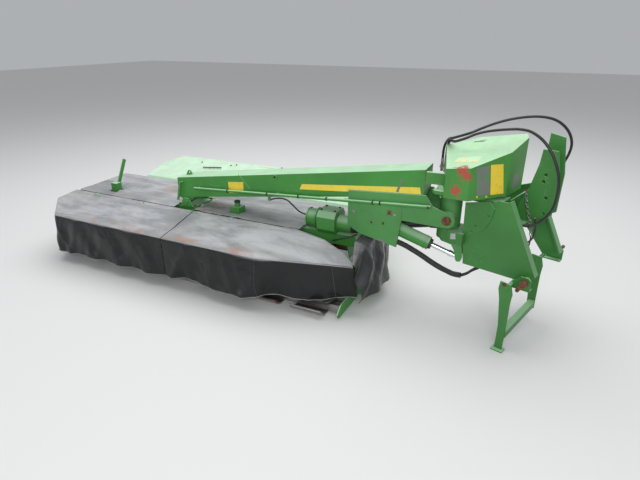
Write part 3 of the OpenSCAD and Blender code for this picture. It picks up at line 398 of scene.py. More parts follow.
def coated_cloth(name, colour, dusty, stain, gloss=0.32, shine=0.32):
    m = Finish(name)
    dust = m.effect("settled_dust", Amount=dusty, Scale=3.2)
    tide_and_sheen = m.ramp(m.noise(1.6, 7.0, 0.66, 0.4, m.stretch(1.0, 3.4, 1.0)), 0.40, 0.66)
    shade = m.mix(m.noise(2.2, 5.0, 0.6), *tints(colour, 0.7, 1.6))
    # Faces that look up turn pale: sun dulling, and partly a painted highlight of the sky.
    fade_and_sheen = m.times(dust["Up"], dusty)
    clouds = m.plus(0.50, m.times(tide_and_sheen, 0.50))
    grey = m.mix(m.times(fade_and_sheen, clouds, True), shade, FADE_AND_SHEEN_GREY)
    # Pale dust on top: chaff, and partly a painted highlight on the glossy cloth.
    grey = m.mix(m.times(dust["Mask"], 0.45), grey, CHAFF_AND_SHEEN)
    front = m.add("ShaderNodeSeparateXYZ", {0: m.place}).outputs["Y"]
    band = m.ramp(front, FRONT_EDGE + 0.13, FRONT_EDGE + 0.02)
    spots = m.effect("rust_spots", Size=2.4, Spread=stain, Seed=11.0)["Mask"]
    brown = m.ramp(m.noise(3.6, 7.0, 0.68, place=m.stretch(1.0, 2.2, 1.0)), 0.50, 0.60)
    stained = m.math("MAXIMUM", m.times(spots, 0.4), m.times(band, brown))
    stained = m.times(m.times(stained, fade_and_sheen), stain, True)
    threads = [m.add("ShaderNodeTexWave", {"Vector": m.place, "Scale": WEAVE_PITCH}, bands_direction=axis)
               for axis in "XY"]
    weave = m.times(threads[0].outputs["Fac"], threads[1].outputs["Fac"])
    crease = m.noise(3.0, 5.0, 0.55, 0.6, m.stretch(1.4, 3.0, 1.4))
    return m.coat({"Base Color": m.mix(stained, grey, RUST_STAIN),
                   "Specular IOR Level": shine,
                   "Roughness": m.plus(gloss, m.times(fade_and_sheen, 0.38), True),
                   "Normal": m.bump(0.5, 0.035, crease, Normal=m.bump(0.12, 0.0008, weave))})


tarpaulin = coated_cloth("tarpaulin", [0.011, 0.0115, 0.012], dusty=0.95, stain=0.62, gloss=0.24)
# On the glossy end sheet, the pale dust on top stands for its highlights: a painted highlight.
end_sheet = coated_cloth("end_sheet", [0.012, 0.012, 0.013], dusty=0.25, stain=0.1, gloss=0.15, shine=0.6)


def black_rubber(name, colour, rough, dusty):
    m = Finish(name)
    dust = m.effect("settled_dust", Amount=dusty, Scale=14.0)["Mask"]
    shade = m.mix(m.noise(20.0, 5.0, 0.6), *tints(colour, 0.7, 1.6))
    return m.coat({"Base Color": m.mix(dust, shade, (0.15, 0.14, 0.12, 1)),
                   "Roughness": m.plus(rough, m.times(dust, 0.3), True),
                   "Normal": m.bump(0.2, 0.001, m.noise(150.0, 4.0, 0.6))})


hem_tape = coated_cloth("hem_tape", [0.15, 0.155, 0.16], dusty=0.9, stain=0.2)
hose_rubber = black_rubber("hose_rubber", [0.016, 0.016, 0.017], 0.38, 0.35)
black_plastic = black_rubber("black_plastic", [0.022, 0.022, 0.023], 0.45, 0.5)
print("cloth:", tarpaulin.name, end_sheet.name, hem_tape.name, "rubber:", hose_rubber.name, black_plastic.name)

# %% [markdown]
# ## Modelling helpers
#
# Each piece starts as a primitive at its own size and place. The helpers below deselect everything
# first, because the operators act on all that is selected. They also put the place of a finished
# piece into its mesh, so its object stays at the origin.

# %% Modelling helpers


def start():
    if bpy.context.object and bpy.context.object.mode != "OBJECT":
        bpy.ops.object.mode_set(mode="OBJECT")
    bpy.ops.object.select_all(action="DESELECT")


def pick(piece):
    """Selects one piece alone and makes it the active one."""
    start()
    piece.select_set(True)
    bpy.context.view_layer.objects.active = piece


def settle(piece, name, paint, body, smooth=None):
    """Names a piece, puts its place into its mesh and gives it a finish, with smooth shading up to an
    angle if one is given. It rides on a body; where four values are given instead (both bodies, and
    where a bend would start and end), it rides on neither and does not bend."""
    pick(piece)
    bpy.ops.object.transform_apply(location=True, rotation=True, scale=True)
    if smooth:
        bpy.ops.object.shade_smooth_by_angle(angle=math.radians(smooth))
    piece.name = name
    piece.data.materials.clear()
    piece.data.materials.append(paint)
    if isinstance(body, str):
        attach(piece, body)
    else:
        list(body)
        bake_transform(piece)
    return piece


def apply_modifier(piece, kind, **settings):
    pick(piece)
    modifier = piece.modifiers.new(kind.lower(), kind)
    for key, value in settings.items():
        setattr(modifier, key, value)
    bpy.ops.object.modifier_apply(modifier=modifier.name)


def join(pieces):
    start()
    for piece in pieces:
        piece.select_set(True)
    bpy.context.view_layer.objects.active = pieces[0]
    if len(pieces) > 1:
        bpy.ops.object.join()
    return bpy.context.object


def turned_to(direction):
    return Vector(direction).to_track_quat("Z", "Y").to_euler()


print("Z turned to X:", [round(math.degrees(angle)) for angle in turned_to((1, 0, 0))], "degrees")

# %% [markdown]
# A round piece is an outline spun about its axis, as on a lathe. The outline is drawn as a line of
# points in edit mode.

# %% Spun pieces


MERGE_DISTANCE = 0.00005


def spun(profile, place, direction, steps):
    """A round piece: the profile, given as radius and height pairs, is spun about the direction."""
    start()
    bpy.ops.mesh.primitive_plane_add(size=0.01)
    made = bpy.context.object
    bpy.ops.object.mode_set(mode="EDIT")
    bpy.ops.mesh.delete(type="VERT")
    mesh = bmesh.from_edit_mesh(made.data)
    line = [mesh.verts.new((radius, 0, height)) for radius, height in profile]
    for a, b in zip(line, line[1:]):
        mesh.edges.new((a, b))
    bmesh.update_edit_mesh(made.data)
    bpy.ops.mesh.select_all(action="SELECT")
    bpy.ops.mesh.spin(steps=steps, angle=math.tau, center=(0, 0, 0), axis=(0, 0, 1))
    bpy.ops.mesh.select_all(action="SELECT")
    bpy.ops.mesh.remove_doubles(threshold=MERGE_DISTANCE)
    bpy.ops.mesh.normals_make_consistent(inside=False)
    bpy.ops.object.mode_set(mode="OBJECT")
    made.rotation_euler = turned_to(direction)
    made.location = place
    return made


print("spun pieces close within", MERGE_DISTANCE * 1000, "mm")

# %% [markdown]
# ## Hoses
#
# The hoses come right after the camera and the helpers, since they decide how far the model spreads.
# Each follows the same points as in the CAD, joined by the same smooth line. A steel ferrule is
# crimped on each end that shows.

# %% Smooth routes


def between(points, i, t):
    a, b = points[max(i - 1, 0)], points[i]
    c, d = points[i + 1], points[min(i + 2, len(points) - 1)]
    return b + 0.5 * t * ((c - a) + t * ((2 * a - 5 * b + 4 * c - d) + t * (3 * b - a - 3 * c + d)))


def smooth_route(points, steps):
    places = [at(*point) for point in points]
    way = [between(places, i, k / steps) for i in range(len(places) - 1) for k in range(steps)]
    return way + [places[-1]]


def route_length(way):
    return sum((b - a).length for a, b in zip(way, way[1:]))


def tube(way, radius, radii=None, sides=3):
    """A tube along a line of points, as a curve with a round bevel that is turned into a mesh."""
    curve = bpy.data.curves.new("route", "CURVE")
    curve.dimensions = "3D"
    curve.bevel_depth = radius
    curve.bevel_resolution = sides
    curve.use_fill_caps = True
    spline = curve.splines.new("POLY")
    spline.points.add(len(way) - 1)
    for i, place in enumerate(way):
        spline.points[i].co = (*place, 1)
        spline.points[i].radius = radii[i] if radii else 1.0
    piece = bpy.data.objects.new("route", curve)
    scene.collection.objects.link(piece)
    pick(piece)
    bpy.ops.object.convert(target="MESH")
    piece = bpy.context.object
    bpy.ops.object.shade_smooth()
    return piece


print("a metre of drawing is", round(route_length([at(0, 0, 0), at(1000, 0, 0)]), 3), "m of route")

# %% [markdown]
# These are the points of every hose, in the drawing's millimetres. The two long hoses rise from the
# swing frame and arch over the hinge of the boom to the hitch. The sleeve runs low beside the boom,
# and three thin hoses leave its end for the ports.

# %% Points of the hoses
OUTER_RISE = [(1258, 926, 1235), (1258, 924, 1290), (1262, 912, 1345), (1280, 880, 1402), (1315, 820, 1448),
              (1360, 755, 1470), (1397, 704, 1477)]
INNER_RISE = [(1290, 900, 1235), (1290, 900, 1305), (1294, 896, 1370), (1306, 878, 1412), (1325, 840, 1428),
              (1350, 790, 1438), (1376, 745, 1445), (1397, 704, 1450)]
OUTER_ROUTE = [(1413, 696, 1487), (1480, 712, 1522), (1560, 745, 1560), (1650, 780, 1598),
               (1750, 815, 1628), (1860, 850, 1646), (1950, 880, 1646), (2030, 915, 1626),
               (2095, 945, 1584), (2143, 968, 1525), (2168, 980, 1456), (2165, 985, 1385),
               (2142, 982, 1310), (2115, 976, 1230), (2095, 972, 1150), (2090, 970, 1085)]
INNER_ROUTE = [(1413, 696, 1460), (1455, 696, 1484), (1517, 700, 1516), (1590, 696, 1543),
               (1660, 690, 1560), (1740, 675, 1575), (1819, 650, 1586), (1900, 620, 1578),
               (1988, 590, 1525), (2064, 570, 1429), (2116, 560, 1305), (2130, 562, 1182),
               (2115, 572, 1060), (2060, 584, 965), (1990, 583, 918), (1928, 598, 913), (1880, 612, 913)]
SLEEVE_ROUTE = [(930, 610, 618), (985, 610, 610), (1040, 610, 596), (1090, 611, 580), (1132, 614, 561)]
SLEEVE_LOW = [(1196, 624, 527), (1240, 635, 499), (1285, 649, 467), (1330, 667, 435), (1381, 689, 401)]
SLEEVE_REST = [(1429, 698, 380), (1465, 694, 371), (1500, 690, 368), (1545, 684, 372)]
TAIL_ROUTES = [
    [(1545, 668, 372), (1590, 668, 398), (1630, 670, 436), (1680, 678, 470),
     (1732, 692, 520), (1762, 702, 580), (1768, 710, 640), (1767, 711, 700)],
    [(1545, 684, 372), (1590, 684, 398), (1630, 686, 436), (1674, 694, 470),
     (1718, 706, 520), (1743, 713, 580), (1748, 716, 640), (1748, 717, 700)],
    [(1545, 700, 372), (1590, 700, 398), (1630, 703, 436), (1668, 710, 470),
     (1704, 718, 520), (1724, 721, 580), (1729, 722, 640), (1729, 722, 700)]]
BREATHER_ROUTE = [(-164, 553, 818), (-120, 578, 828), (-70, 596, 830), (-15, 608, 812), (35, 620, 765),
                  (85, 632, 718), (130, 645, 697), (166, 655, 694)]
LOOP_ROUTE = [(1872, 622, 887), (1874, 620, 845), (1890, 618, 800), (1925, 620, 768), (1965, 628, 758),
              (2003, 640, 772), (2028, 654, 810), (2034, 668, 860), (2030, 682, 905), (2020, 700, 935),
              (2014, 718, 940)]
print("longest route", round(route_length(smooth_route(INNER_ROUTE, 6)), 2), "m")

# %% [markdown]
# A ferrule is a short steel collar with grooves, where the hose is pressed onto its fitting. Its
# outline is spun about the line of the hose.

# %% Make the hoses
GROOVE = 0.0012


def ferrule(place, direction, radius, length):
    r = radius * 1.25
    profile = [(radius, 0), (r, 0.001)]
    grooves = 4
    for i in range(grooves):
        low = length * (0.1 + 0.8 * i / grooves)
        step = length * 0.8 / grooves
        profile += [(r, low), (r - GROOVE, low + step * 0.3), (r - GROOVE, low + step * 0.7), (r, low + step)]
    profile += [(r, length - 0.001), (radius, length)]
    return spun(profile, place, direction, 24)


def hose(name, points, radius, nodes_named, body, collars):
    """One hose standing for its CAD tubes; each collar is (which end, the body it rides on)."""
    way = smooth_route(points, 6)
    piece = settle(tube(way, radius), name, hose_rubber, body)
    rings = []
    for end, holder in collars:
        a, b = (way[0], way[1]) if end == "first" else (way[-1], way[-2])
        ring = ferrule(a, b - a, radius, radius * 3.4)
        rings.append(settle(ring, f"{name}_ferrule_{len(rings) + 1}", worn_steel, holder, 35))
    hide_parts(*nodes_named)
    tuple(way[0])
    route_length(way)


HOSE_RADIUS, THIN_RADIUS, SLEEVE_RADIUS = 0.010, 0.007, 0.024
OVER_KINGPIN = ("swing_frame", "headstock", at(1350, 724, 1440), at(1460, 674, 1500))
FROM_SWING_FRAME = [("first", "swing_frame"), ("last", "headstock")]
# The CAD leaves a gap over the kingpin, from the last point of each rise to the first of each route.
# The hose runs across it in one smooth line.
hose("outer_hose_tube", OUTER_RISE[:-1] + OUTER_ROUTE[1:], HOSE_RADIUS, ["rising_hoses", "outer_hose"],
     OVER_KINGPIN, FROM_SWING_FRAME)
hose("inner_hose_tube", INNER_RISE[:-1] + INNER_ROUTE[1:], HOSE_RADIUS, ["rising_hoses", "inner_hose"],
     OVER_KINGPIN, FROM_SWING_FRAME)
hose("breather_hose_tube", BREATHER_ROUTE, THIN_RADIUS, ["breather_hose"],
     ("boom", "mower_unit", at(-60, 600, 830), at(150, 650, 695)), [])
hose("looped_hose_tube", LOOP_ROUTE, THIN_RADIUS, ["looped_hose"], "headstock",
     [("first", "headstock"), ("last", "headstock")])
for k, tail in enumerate(TAIL_ROUTES):
    hose(f"sleeve_tail_{k + 1}", tail, THIN_RADIUS, ["sleeve_tails"], "headstock", [("last", "headstock")])
print("hoses made")

# %% [markdown]
# Three hoses run inside a corrugated plastic sleeve, which keeps them from chafing. Its rings are the
# same curve with a radius that goes up and down.

# %% Corrugated sleeve
RING_PITCH = 0.0095


def even_steps(way, count):
    """The same line as evenly spaced points."""
    total, marks, run = route_length(way), [way[0]], 0.0
    for a, b in zip(way, way[1:]):
        piece = (b - a).length
        while len(marks) <= count and total * len(marks) / count <= run + piece + 1e-9:
            marks.append(a.lerp(b, (total * len(marks) / count - run) / piece))
        run += piece
    return marks


def corrugated(name, points, nodes_named, body):
    way = smooth_route(points, 8)
    even = even_steps(way, int(route_length(way) / RING_PITCH) * 4)
    radii = [(1.0, 1.0, 0.87, 0.87)[k % 4] for k in range(len(even))]
    piece = settle(tube(even, SLEEVE_RADIUS, radii, 4), name, black_plastic, body)
    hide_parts(*nodes_named)
    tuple(even[0])
    route_length(even)


corrugated("hose_sleeve_upper", SLEEVE_ROUTE + SLEEVE_LOW[:3], ["hose_sleeve"],
           ("boom", "swing_frame", at(1000, 610, 606), at(1270, 645, 478)))
corrugated("hose_sleeve_lower", SLEEVE_LOW[2:] + SLEEVE_REST, ["sleeve_middle", "sleeve_end"],
           ("swing_frame", "headstock", at(1350, 680, 420), at(1460, 705, 360)))
print("sleeve made")

# %% [markdown]
# ## Tarpaulins
#
# Coated cloth is heavy and stiff. On top it lies on the guard's tubes and dips a little between them,
# and below the front edge it hangs with broad slanting folds that deepen towards the hem. A grid of
# points gives full control of that: each point's place is worked out from how far along the edge and
# how far down the sheet it lies. A thickness and one subdivision finish it. The sheets are given and
# not simulated, because they are clipped to tubes along three sides.

# %% Cloth helper


def ruffle(place, size, seed):
    """A soft number between -1 and 1 that wanders over the given size in metres."""
    return noise.noise(Vector(place) / size + Vector((seed, seed * 1.7, -seed)))


CLOTH_THICKNESS = 0.0025


def cloth(name, us, vs, place, node, body, paint, skip=None):
    """A sheet over a grid: place(u, v) gives each point, and skip(u, v) leaves a hole there."""
    start()
    mesh = bmesh.new()
    grid = [[mesh.verts.new(place(u, v)) for v in vs] for u in us]
    for i in range(len(us) - 1):
        for j in range(len(vs) - 1):
            if skip and skip((us[i] + us[i + 1]) / 2, (vs[j] + vs[j + 1]) / 2):
                continue
            mesh.faces.new((grid[i][j], grid[i + 1][j], grid[i + 1][j + 1], grid[i][j + 1]))
    loose = [vert for vert in mesh.verts if not vert.link_faces]
    bmesh.ops.delete(mesh, geom=loose, context="VERTS")
    bmesh.ops.remove_doubles(mesh, verts=mesh.verts, dist=0.0004)
    bmesh.ops.recalc_face_normals(mesh, faces=mesh.faces)
    area = sum(face.calc_area() for face in mesh.faces)
    data = bpy.data.meshes.new(name)
    mesh.to_mesh(data)
    mesh.free()
    piece = bpy.data.objects.new(name, data)
    scene.collection.objects.link(piece)
    apply_modifier(piece, "SOLIDIFY", thickness=CLOTH_THICKNESS, offset=0.0)
    apply_modifier(piece, "SUBSURF", levels=1, render_levels=1)
    settle(piece, name, paint, body, 50)
    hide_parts(node)
    width = max(route_length([place(u, v) for u in us]) for v in (vs[0], vs[-1]))
    drop = max(route_length([place(u, v) for v in vs]) for u in us[::6])
    print(name, "area", round(area, 3), "flat", round(width, 3), round(drop, 3))


def marks(low, high, step, also=()):
    """Evenly spaced values from low to high, with some further values among them."""
    count = max(1, round((high - low) / step))
    values = [low + (high - low) * i / count for i in range(count + 1)]
    values = sorted(values + [v for v in also if low < v < high])
    kept = [values[0]]
    for value in values[1:]:
        if value - kept[-1] > step * 0.3:
            kept.append(value)
        elif value in also and len(kept) > 1:
            kept[-1] = value
    kept[-1] = high
    return kept


print("columns of a short sheet:", [round(u, 2) for u in marks(0, 1, 0.25, [0.6])])

# %% [markdown]
# Each guard tarpaulin is described by a few stations along its front edge. A station names three
# points: where the sheet starts at the hinge tube, the edge over the front tube, and the hem below.
# Every column of the grid lies between two stations. The narrow notches at the hinge tube leave room
# for the hinge plates when the guard folds up.

# %% Guard tarpaulins
HINGES = [-2300, -1620, -1060, -940, -560, -240]
RIDGE = (476, 606.6)
EDGE_Z, HEM_Z = 503, 122
OUTBOARD = [((-1003, *RIDGE), (-1003, 0, EDGE_Z), (-1003, 0, HEM_Z)),
            ((-2400, *RIDGE), (-2400, 0, EDGE_Z), (-2400, 0, HEM_Z)),
            ((-2520, *RIDGE), (-2617, 230, 583), (-2617, 230, 140)),
            ((-2617, *RIDGE), (-2617, 470, 605), (-2617, 476, 160))]
INBOARD = [((-997, *RIDGE), (-997, 0, EDGE_Z), (-997, 0, HEM_Z)),
           ((-170, *RIDGE), (0, 0, EDGE_Z), (0, 0, HEM_Z)),
           ((120, 484, 604), (190, 67, 493), (190, 100, 125)),
           ((430, 428, 579), (430, 152, 481), (430, 215, 131)),
           ((640, 345, 532), (620, 220, 470), (625, 310, 140)),
           ((752, 284, 474), (760, 270, 462), (760, 400, 150))]


SAG, RIPPLE, HEM_RISE = 0.007, 0.0055, 0.014
EDGE_BAND, EDGE_DROP, EDGE_TUCK = 0.045, 0.007, 0.004


def guard_sheet(stations, folds, seed):
    """Gives the length of the edge and the function that places a point of a guard tarpaulin."""
    lines = [[at(*point) for point in station] for station in stations]
    spans = [(b[1] - a[1]).length for a, b in zip(lines, lines[1:])]

    def column(u):
        for i, span in enumerate(spans):
            if u <= span or i == len(spans) - 1:
                share = min(1.0, max(0.0, u / span))
                ridge, edge, hem = (a.lerp(b, share) for a, b in zip(lines[i], lines[i + 1]))
                run = (lines[i + 1][1] - lines[i][1]).normalized()
                return ridge, edge, hem, run
            u -= span

    def place(u, v):
        """v runs from 0 at the hinge tube to 1 at the edge and to 2 at the hem."""
        ridge, edge, hem, run = column(u)
        outward = Vector((run.y, -run.x, 0)).normalized()
        if outward.y > 0 or (abs(outward.y) < 0.05 and outward.x * edge.x < 0):
            outward.negate()
        if v <= 1:
            point = ridge.lerp(edge, v)
            dip = math.sin(math.pi * v) * min(1.0, (edge - ridge).length / 0.3)
            point.z -= SAG * dip * (0.6 + 0.5 * ruffle((u, v * 0.5, 0), 0.45, seed))
            point.z += RIPPLE * dip * ruffle((u * 1.3 + v * 0.2, v * 0.5 - u * 0.3, 0), 0.11, seed + 3)
        else:
            low = v - 1
            point = edge.lerp(hem, low)
            drop = low * (hem - edge).length
            deep = min(1.0, low * 1.15) ** 0.8 * min(1.0, 0.08 + u / 0.18)
            crest = 0.85 - 3.2 * abs(ruffle((u + 0.62 * drop, 0, 0), 0.36, seed + 5))
            fine = ruffle((u - 0.35 * drop, drop * 0.6, 0), 0.095, seed + 9)
            point += outward * deep * folds * (0.75 * crest + 0.30 * fine)
            point.z += HEM_RISE * low * (0.4 - crest)
        near_edge = max(0.0, 1 - abs(v - 1) / EDGE_BAND)
        point.z -= EDGE_DROP * near_edge * near_edge
        point -= outward * EDGE_TUCK * near_edge
        return point

    return sum(spans), place


print("edge of the outboard sheet", round(guard_sheet(OUTBOARD, 0, 0)[0], 3), "m")

# %% [markdown]
# The hem and the edge are rolled, so a thin tube follows each of them. The pale tube on the edge is
# also a painted highlight, the bright line that runs along it. Stitches run down the front, and the
# sheet is notched round the hinge plates.

# %% Hems, stitches and notches


def hem_line(place, length, v, radius, name, body, paint, first=0.0):
    """A rolled edge along the sheet at one v, from a share of its length to the end."""
    way = [place(length * (first + (1 - first) * i / 160), v) for i in range(161)]
    settle(tube(way, radius, sides=1), name, paint, body)


def stitched_seam(place, u, name, body):
    """A pale row of stitches that runs down the front from the edge to the hem."""
    before = Vector((0, -0.0022, 0))
    stitches = []
    for k in range(46):
        low = 1.05 + 0.0205 * k
        stitches.append(tube([place(u, v) + before for v in (low, low + 0.012)], 0.0011, sides=0))
    settle(join(stitches), name, hem_tape, body)


def notched(xs, from_x, side):
    """Gives a test of whether a point near the hinge tube lies in front of a hinge plate."""
    def skip(u, v):
        x = from_x + side * u * 1000
        return v < 0.05 and any(abs(x - hinge) < 13 for hinge in xs)
    return skip


print("hinge plates at", HINGES)

# %% [markdown]
# Both sheets are laid the same way. The rows lie closer together near the edge, where the cloth bends.

# %% Lay both guard tarpaulins
ROWS = ([0, 0.054] + [0.054 + 0.896 * i / 20 for i in range(1, 21)] + [0.975, 1.0, 1.03, 1.07]
        + [1.07 + 0.93 * i / 18 for i in range(1, 19)])
for name, stations, side, body, folds, seed in (
        ("outboard_guard_tarp", OUTBOARD, -1, "outboard_guard", 0.058, 2.0),
        ("inboard_guard_tarp", INBOARD, 1, "inboard_guard", 0.070, 4.3)):
    length, place = guard_sheet(stations, folds, seed)
    from_x = stations[0][1][0]
    # the ridge runs slower than the edge on the inboard sheet, so its notches are found on the ridge
    rate = (stations[1][0][0] - stations[0][0][0]) / (stations[1][1][0] - stations[0][1][0])
    own = [hinge for hinge in HINGES if (hinge - from_x) * side > 0]
    cuts = [abs(hinge + s - from_x) / rate / 1000 for hinge in own for s in (-14, 14)]
    skip = notched([from_x + (hinge - from_x) / rate for hinge in own], from_x, side)
    cloth(f"{name}_cloth", marks(0, length, 0.024, cuts), ROWS, place, name, body, tarpaulin,
          skip)
    print(name, "edge", round(length, 3), "m")
    hem_line(place, length, 2.0, 0.0042, f"{name}_hem", body, hem_tape)
    # The welt's pale tape also stands for the bright highlight along the front edge: a painted highlight.
    hem_line(place, length, 1.0, 0.0050, f"{name}_edge_welt_and_highlight", body, hem_tape)
    if side > 0:
        hem_line(place, length, 0.0, 0.0045, f"{name}_free_edge", body, hem_tape, 0.62)
        stitched_seam(place, length * 0.905, f"{name}_seam_right", body)
        stitched_seam(place, 0.994, f"{name}_seam_left", body)

# %% [markdown]
# The sheet behind the guards lies on the front of the hood. It has holes for the saddle, the tilt
# stop, the lever and the gearbox, and it is rucked up round them, because people pull it aside there.

# %% Sheet behind the guards
TOP_X, TOP_Y = (-2617, 490), (512, 1180)
RUCK_HEIGHT, CURL = 36, 7
RUCKS = [(-1010, 600, 330), (-640, 600, 300), (120, 640, 260), (-2200, 640, 160)]
HOLES = [(-1275, -1025, 500, 868), (-665, -535, 588, 712), (-2255, -2145, 600, 712), (150, 491, 500, 800)]


def ruck(x, y):
    """How strongly the sheet is crumpled near the saddle, the stop and the gearbox."""
    return max(0.0, *(1 - math.hypot(x - rx, (y - ry) * 1.3) / reach for rx, ry, reach in RUCKS))


def hood_rise(y):
    """How far the hood's top has risen at y, in millimetres."""
    return max(0, y - 700) * 16 / 480


def top_place(x, y):
    spot = (x / 1000, y / 1000, 0)
    waves = 3.0 * (1 + ruffle(spot, 0.35, 4.0))
    small = 0.5 * ruffle(spot, 0.035, 9.0)
    crumple = RUCK_HEIGHT * ruck(x, y) * abs(ruffle((x / 1000, y / 1500, 0), 0.07, 8.0) + small)
    curl = CURL * max(0.0, 1 - (y - TOP_Y[0]) / 30)
    return at(x, y, 599 + hood_rise(y) + waves + crumple - curl)


def in_hole(x, y):
    return any(x0 < x < x1 and y0 < y < y1 for x0, x1, y0, y1 in HOLES)


top_us = marks(TOP_X[0], TOP_X[1], 21, [x for hole in HOLES for x in hole[:2]])
top_vs = marks(TOP_Y[0], TOP_Y[1], 21, [y for hole in HOLES for y in hole[2:]])
cloth("top_tarp_cloth", top_us, top_vs, top_place, "top_tarp", "mower_unit", tarpaulin,
      in_hole)
print(len(top_us), "by", len(top_vs), "points behind the guards")

# %% [markdown]
# Two loose sheets close the ends. The outboard one hangs straight. The inboard one is thick black
# rubber cloth that has been bunched up against the end frame.

# %% End curtains


def outboard_curtain(y, v):
    top = 594 + hood_rise(y)
    bottom = 162 + (y - 512) * 0.06
    wave = 9 * v * ruffle((y / 1000 + 0.25 * v, v * 0.3, 0), 0.16, 3.0)
    return at(-2617 + wave, y, top + (bottom - top) * v)


LIP = 0.16


def inboard_curtain(y, v):
    front = max(0.0, (480 - y) / 204)
    start_at = Vector((686 + 58 * front, y, 597 - 126 * front))
    edge = Vector((786 - 10 * front, y, 562 - 104 * front))
    flare = max(0.0, 1 - ((y - 640) / 420) ** 2)
    hem = Vector((806 + 92 * flare, y, 134 + 10 * ruffle((y / 1000, 0, 0), 0.2, 1.0)))
    if v < LIP:
        share = v / LIP
        point = start_at.lerp(edge, share)
        point.z += 9 * math.sin(math.pi * share)
        return at(*point)
    fall = (v - LIP) / (1 - LIP)
    point = edge.lerp(hem, fall ** 1.15)
    deep = min(1.0, fall * 2.2)
    broad = ruffle((y / 1000 + 0.34 * fall, fall * 0.2, 0), 0.24, 5.0)
    fine = ruffle((y / 1000 - 0.2 * fall, fall * 0.3, 0), 0.10, 7.0)
    out = 105 * deep * abs(broad) ** 0.85 * (1 if broad > 0 else -0.7) + 9 * deep * fine
    point.x = max(point.x + out, 783 - 8 * front)
    point.y += 26 * deep * ruffle((y / 1000, fall * 0.3, 0), 0.13, 15.0)
    return at(*point)


FALL = [i / 20 for i in range(21)]
LONG_FALL = [0, 0.04, 0.08, 0.12] + [LIP + (1 - LIP) * i / 30 for i in range(31)]
cloth("outboard_curtain_cloth", marks(512, 1180, 24), FALL, outboard_curtain, "end_curtains", "mower_unit",
      tarpaulin)
cloth("inboard_curtain_cloth", marks(276, 1120, 12), LONG_FALL, inboard_curtain, "end_curtains", "mower_unit",
      end_sheet)
print("both ends closed")

# %% [markdown]
# ## Markings
#
# Yellow vinyl is stuck on the paint: a long stripe on the boom and signs on the boom and the guard.
# They are all left bare here. A marking is a plane whose four corners are put on the face that
# carries it; Solidify gives it the thickness of vinyl, and its finish is sun-bleached and scuffed.

# %% Vinyl finishes


def vinyl(name, colour, under, lost):
    """Thin coloured vinyl; where it has flaked off, the paint under it shows."""
    m = Finish(name)
    lines = m.effect("scratches", Density=0.7)["Mask"]
    shade = m.mix(m.noise(9.0, 5.0, 0.6), *tints(colour, 0.85, 1.1))
    grime = m.ramp(m.noise(38.0, 6.0, 0.7), 0.56, 0.72)
    shade = m.mix(m.times(grime, 0.5), shade, (0.16, 0.13, 0.08, 1))
    flaked = m.ramp(m.noise(16.0, 7.0, 0.72), 0.66 - lost, 0.70 - lost)
    flaked = m.math("MAXIMUM", flaked, lines)
    return m.coat({"Base Color": m.mix(flaked, shade, under),
                   "Roughness": m.plus(0.30, m.times(flaked, 0.25), True),
                   "Normal": m.bump(0.15, 0.0004, m.noise(70.0, 4.0, 0.6))})


UNDER = (0.07, 0.30, 0.08, 1)
stripe_vinyl = vinyl("stripe_vinyl", [0.90, 0.70, 0.07], UNDER, 0.0)
sign_vinyl = vinyl("sign_vinyl", [0.88, 0.66, 0.04], (0.55, 0.50, 0.30, 1), 0.02)
faded_vinyl = vinyl("faded_vinyl", [0.82, 0.76, 0.42], (0.50, 0.82, 0.53, 1), 0.20)
grey_vinyl = vinyl("grey_vinyl", [0.42, 0.44, 0.43], UNDER, 0.06)
grey_residue = vinyl("grey_residue", [0.17, 0.20, 0.17], UNDER, 0.12)
print("vinyl:", stripe_vinyl.name, sign_vinyl.name, faded_vinyl.name, grey_vinyl.name, grey_residue.name)

# %% [markdown]
# Each marking is named with the body that carries it, its finish and its thickness, and its four
# corners are read off the drawing. The stripe bends where the boom's taper changes, so it is two pieces.

# %% Stick them on


def marking(name, body, paint, thick, corners):
    """Corners run from the lower left against the clock, as seen from outside."""
    start()
    bpy.ops.mesh.primitive_plane_add(size=1)
    made = bpy.context.object
    places = [at(*corner) for corner in corners]
    outward = (places[1] - places[0]).cross(places[2] - places[0]).normalized()
    for index, place in zip((0, 1, 3, 2), places):
        made.data.vertices[index].co = place + outward * 0.0004
    apply_modifier(made, "SOLIDIFY", thickness=thick, offset=1.0)
    apply_modifier(made, "BEVEL", width=thick * 0.4, segments=1)
    settle(made, name, paint, body)


MARKINGS = [
    ("boom_stripe_left", "boom", stripe_vinyl, 0.0006,
     [(120, 580, 946), (583, 580, 986), (583, 580, 1040), (143, 580, 995)]),
    ("boom_stripe_right", "boom", stripe_vinyl, 0.0006,
     [(583.2, 580, 1005), (1187, 580, 1047), (1174, 580, 1101), (583.2, 580, 1040)]),
    ("boom_sign", "boom", sign_vinyl, 0.0006,
     [(-633, 580, 808), (-472, 580, 826), (-467, 580, 936), (-639, 580, 916)]),
    ("boom_smear", "boom", grey_residue, 0.0004,
     [(986, 579, 1040), (1006, 579, 1042), (1041, 579, 1160), (1017, 579, 1144)]),
    ("guard_sign", "swing_frame", sign_vinyl, 0.0006,
     [(1698, 540, 1125), (1779, 623, 1123), (1751, 595, 1346), (1676, 517, 1349)]),
    ("guard_residue", "swing_frame", grey_residue, 0.0003,
     [(1614, 453, 1132), (1693, 535, 1128), (1668, 510, 1346), (1593, 432, 1337)]),
    ("guard_top_sign", "swing_frame", faded_vinyl, 0.0004,
     [(1417, 516, 1339), (1588, 504, 1363), (1597, 606, 1385), (1438, 601, 1359)]),
    ("hub_label", "headstock", grey_vinyl, 0.0006,
     [(1447, 571, 721), (1491, 558, 731), (1484, 560, 778), (1446, 571, 769)]),
    ("hood_strip", "mower_unit", faded_vinyl, 0.0004,
     [(-1000, 1660, 768.6), (-720, 1660, 768.6), (-720, 1682, 775), (-1000, 1682, 775)])]
for facts in MARKINGS:
    marking(*facts)
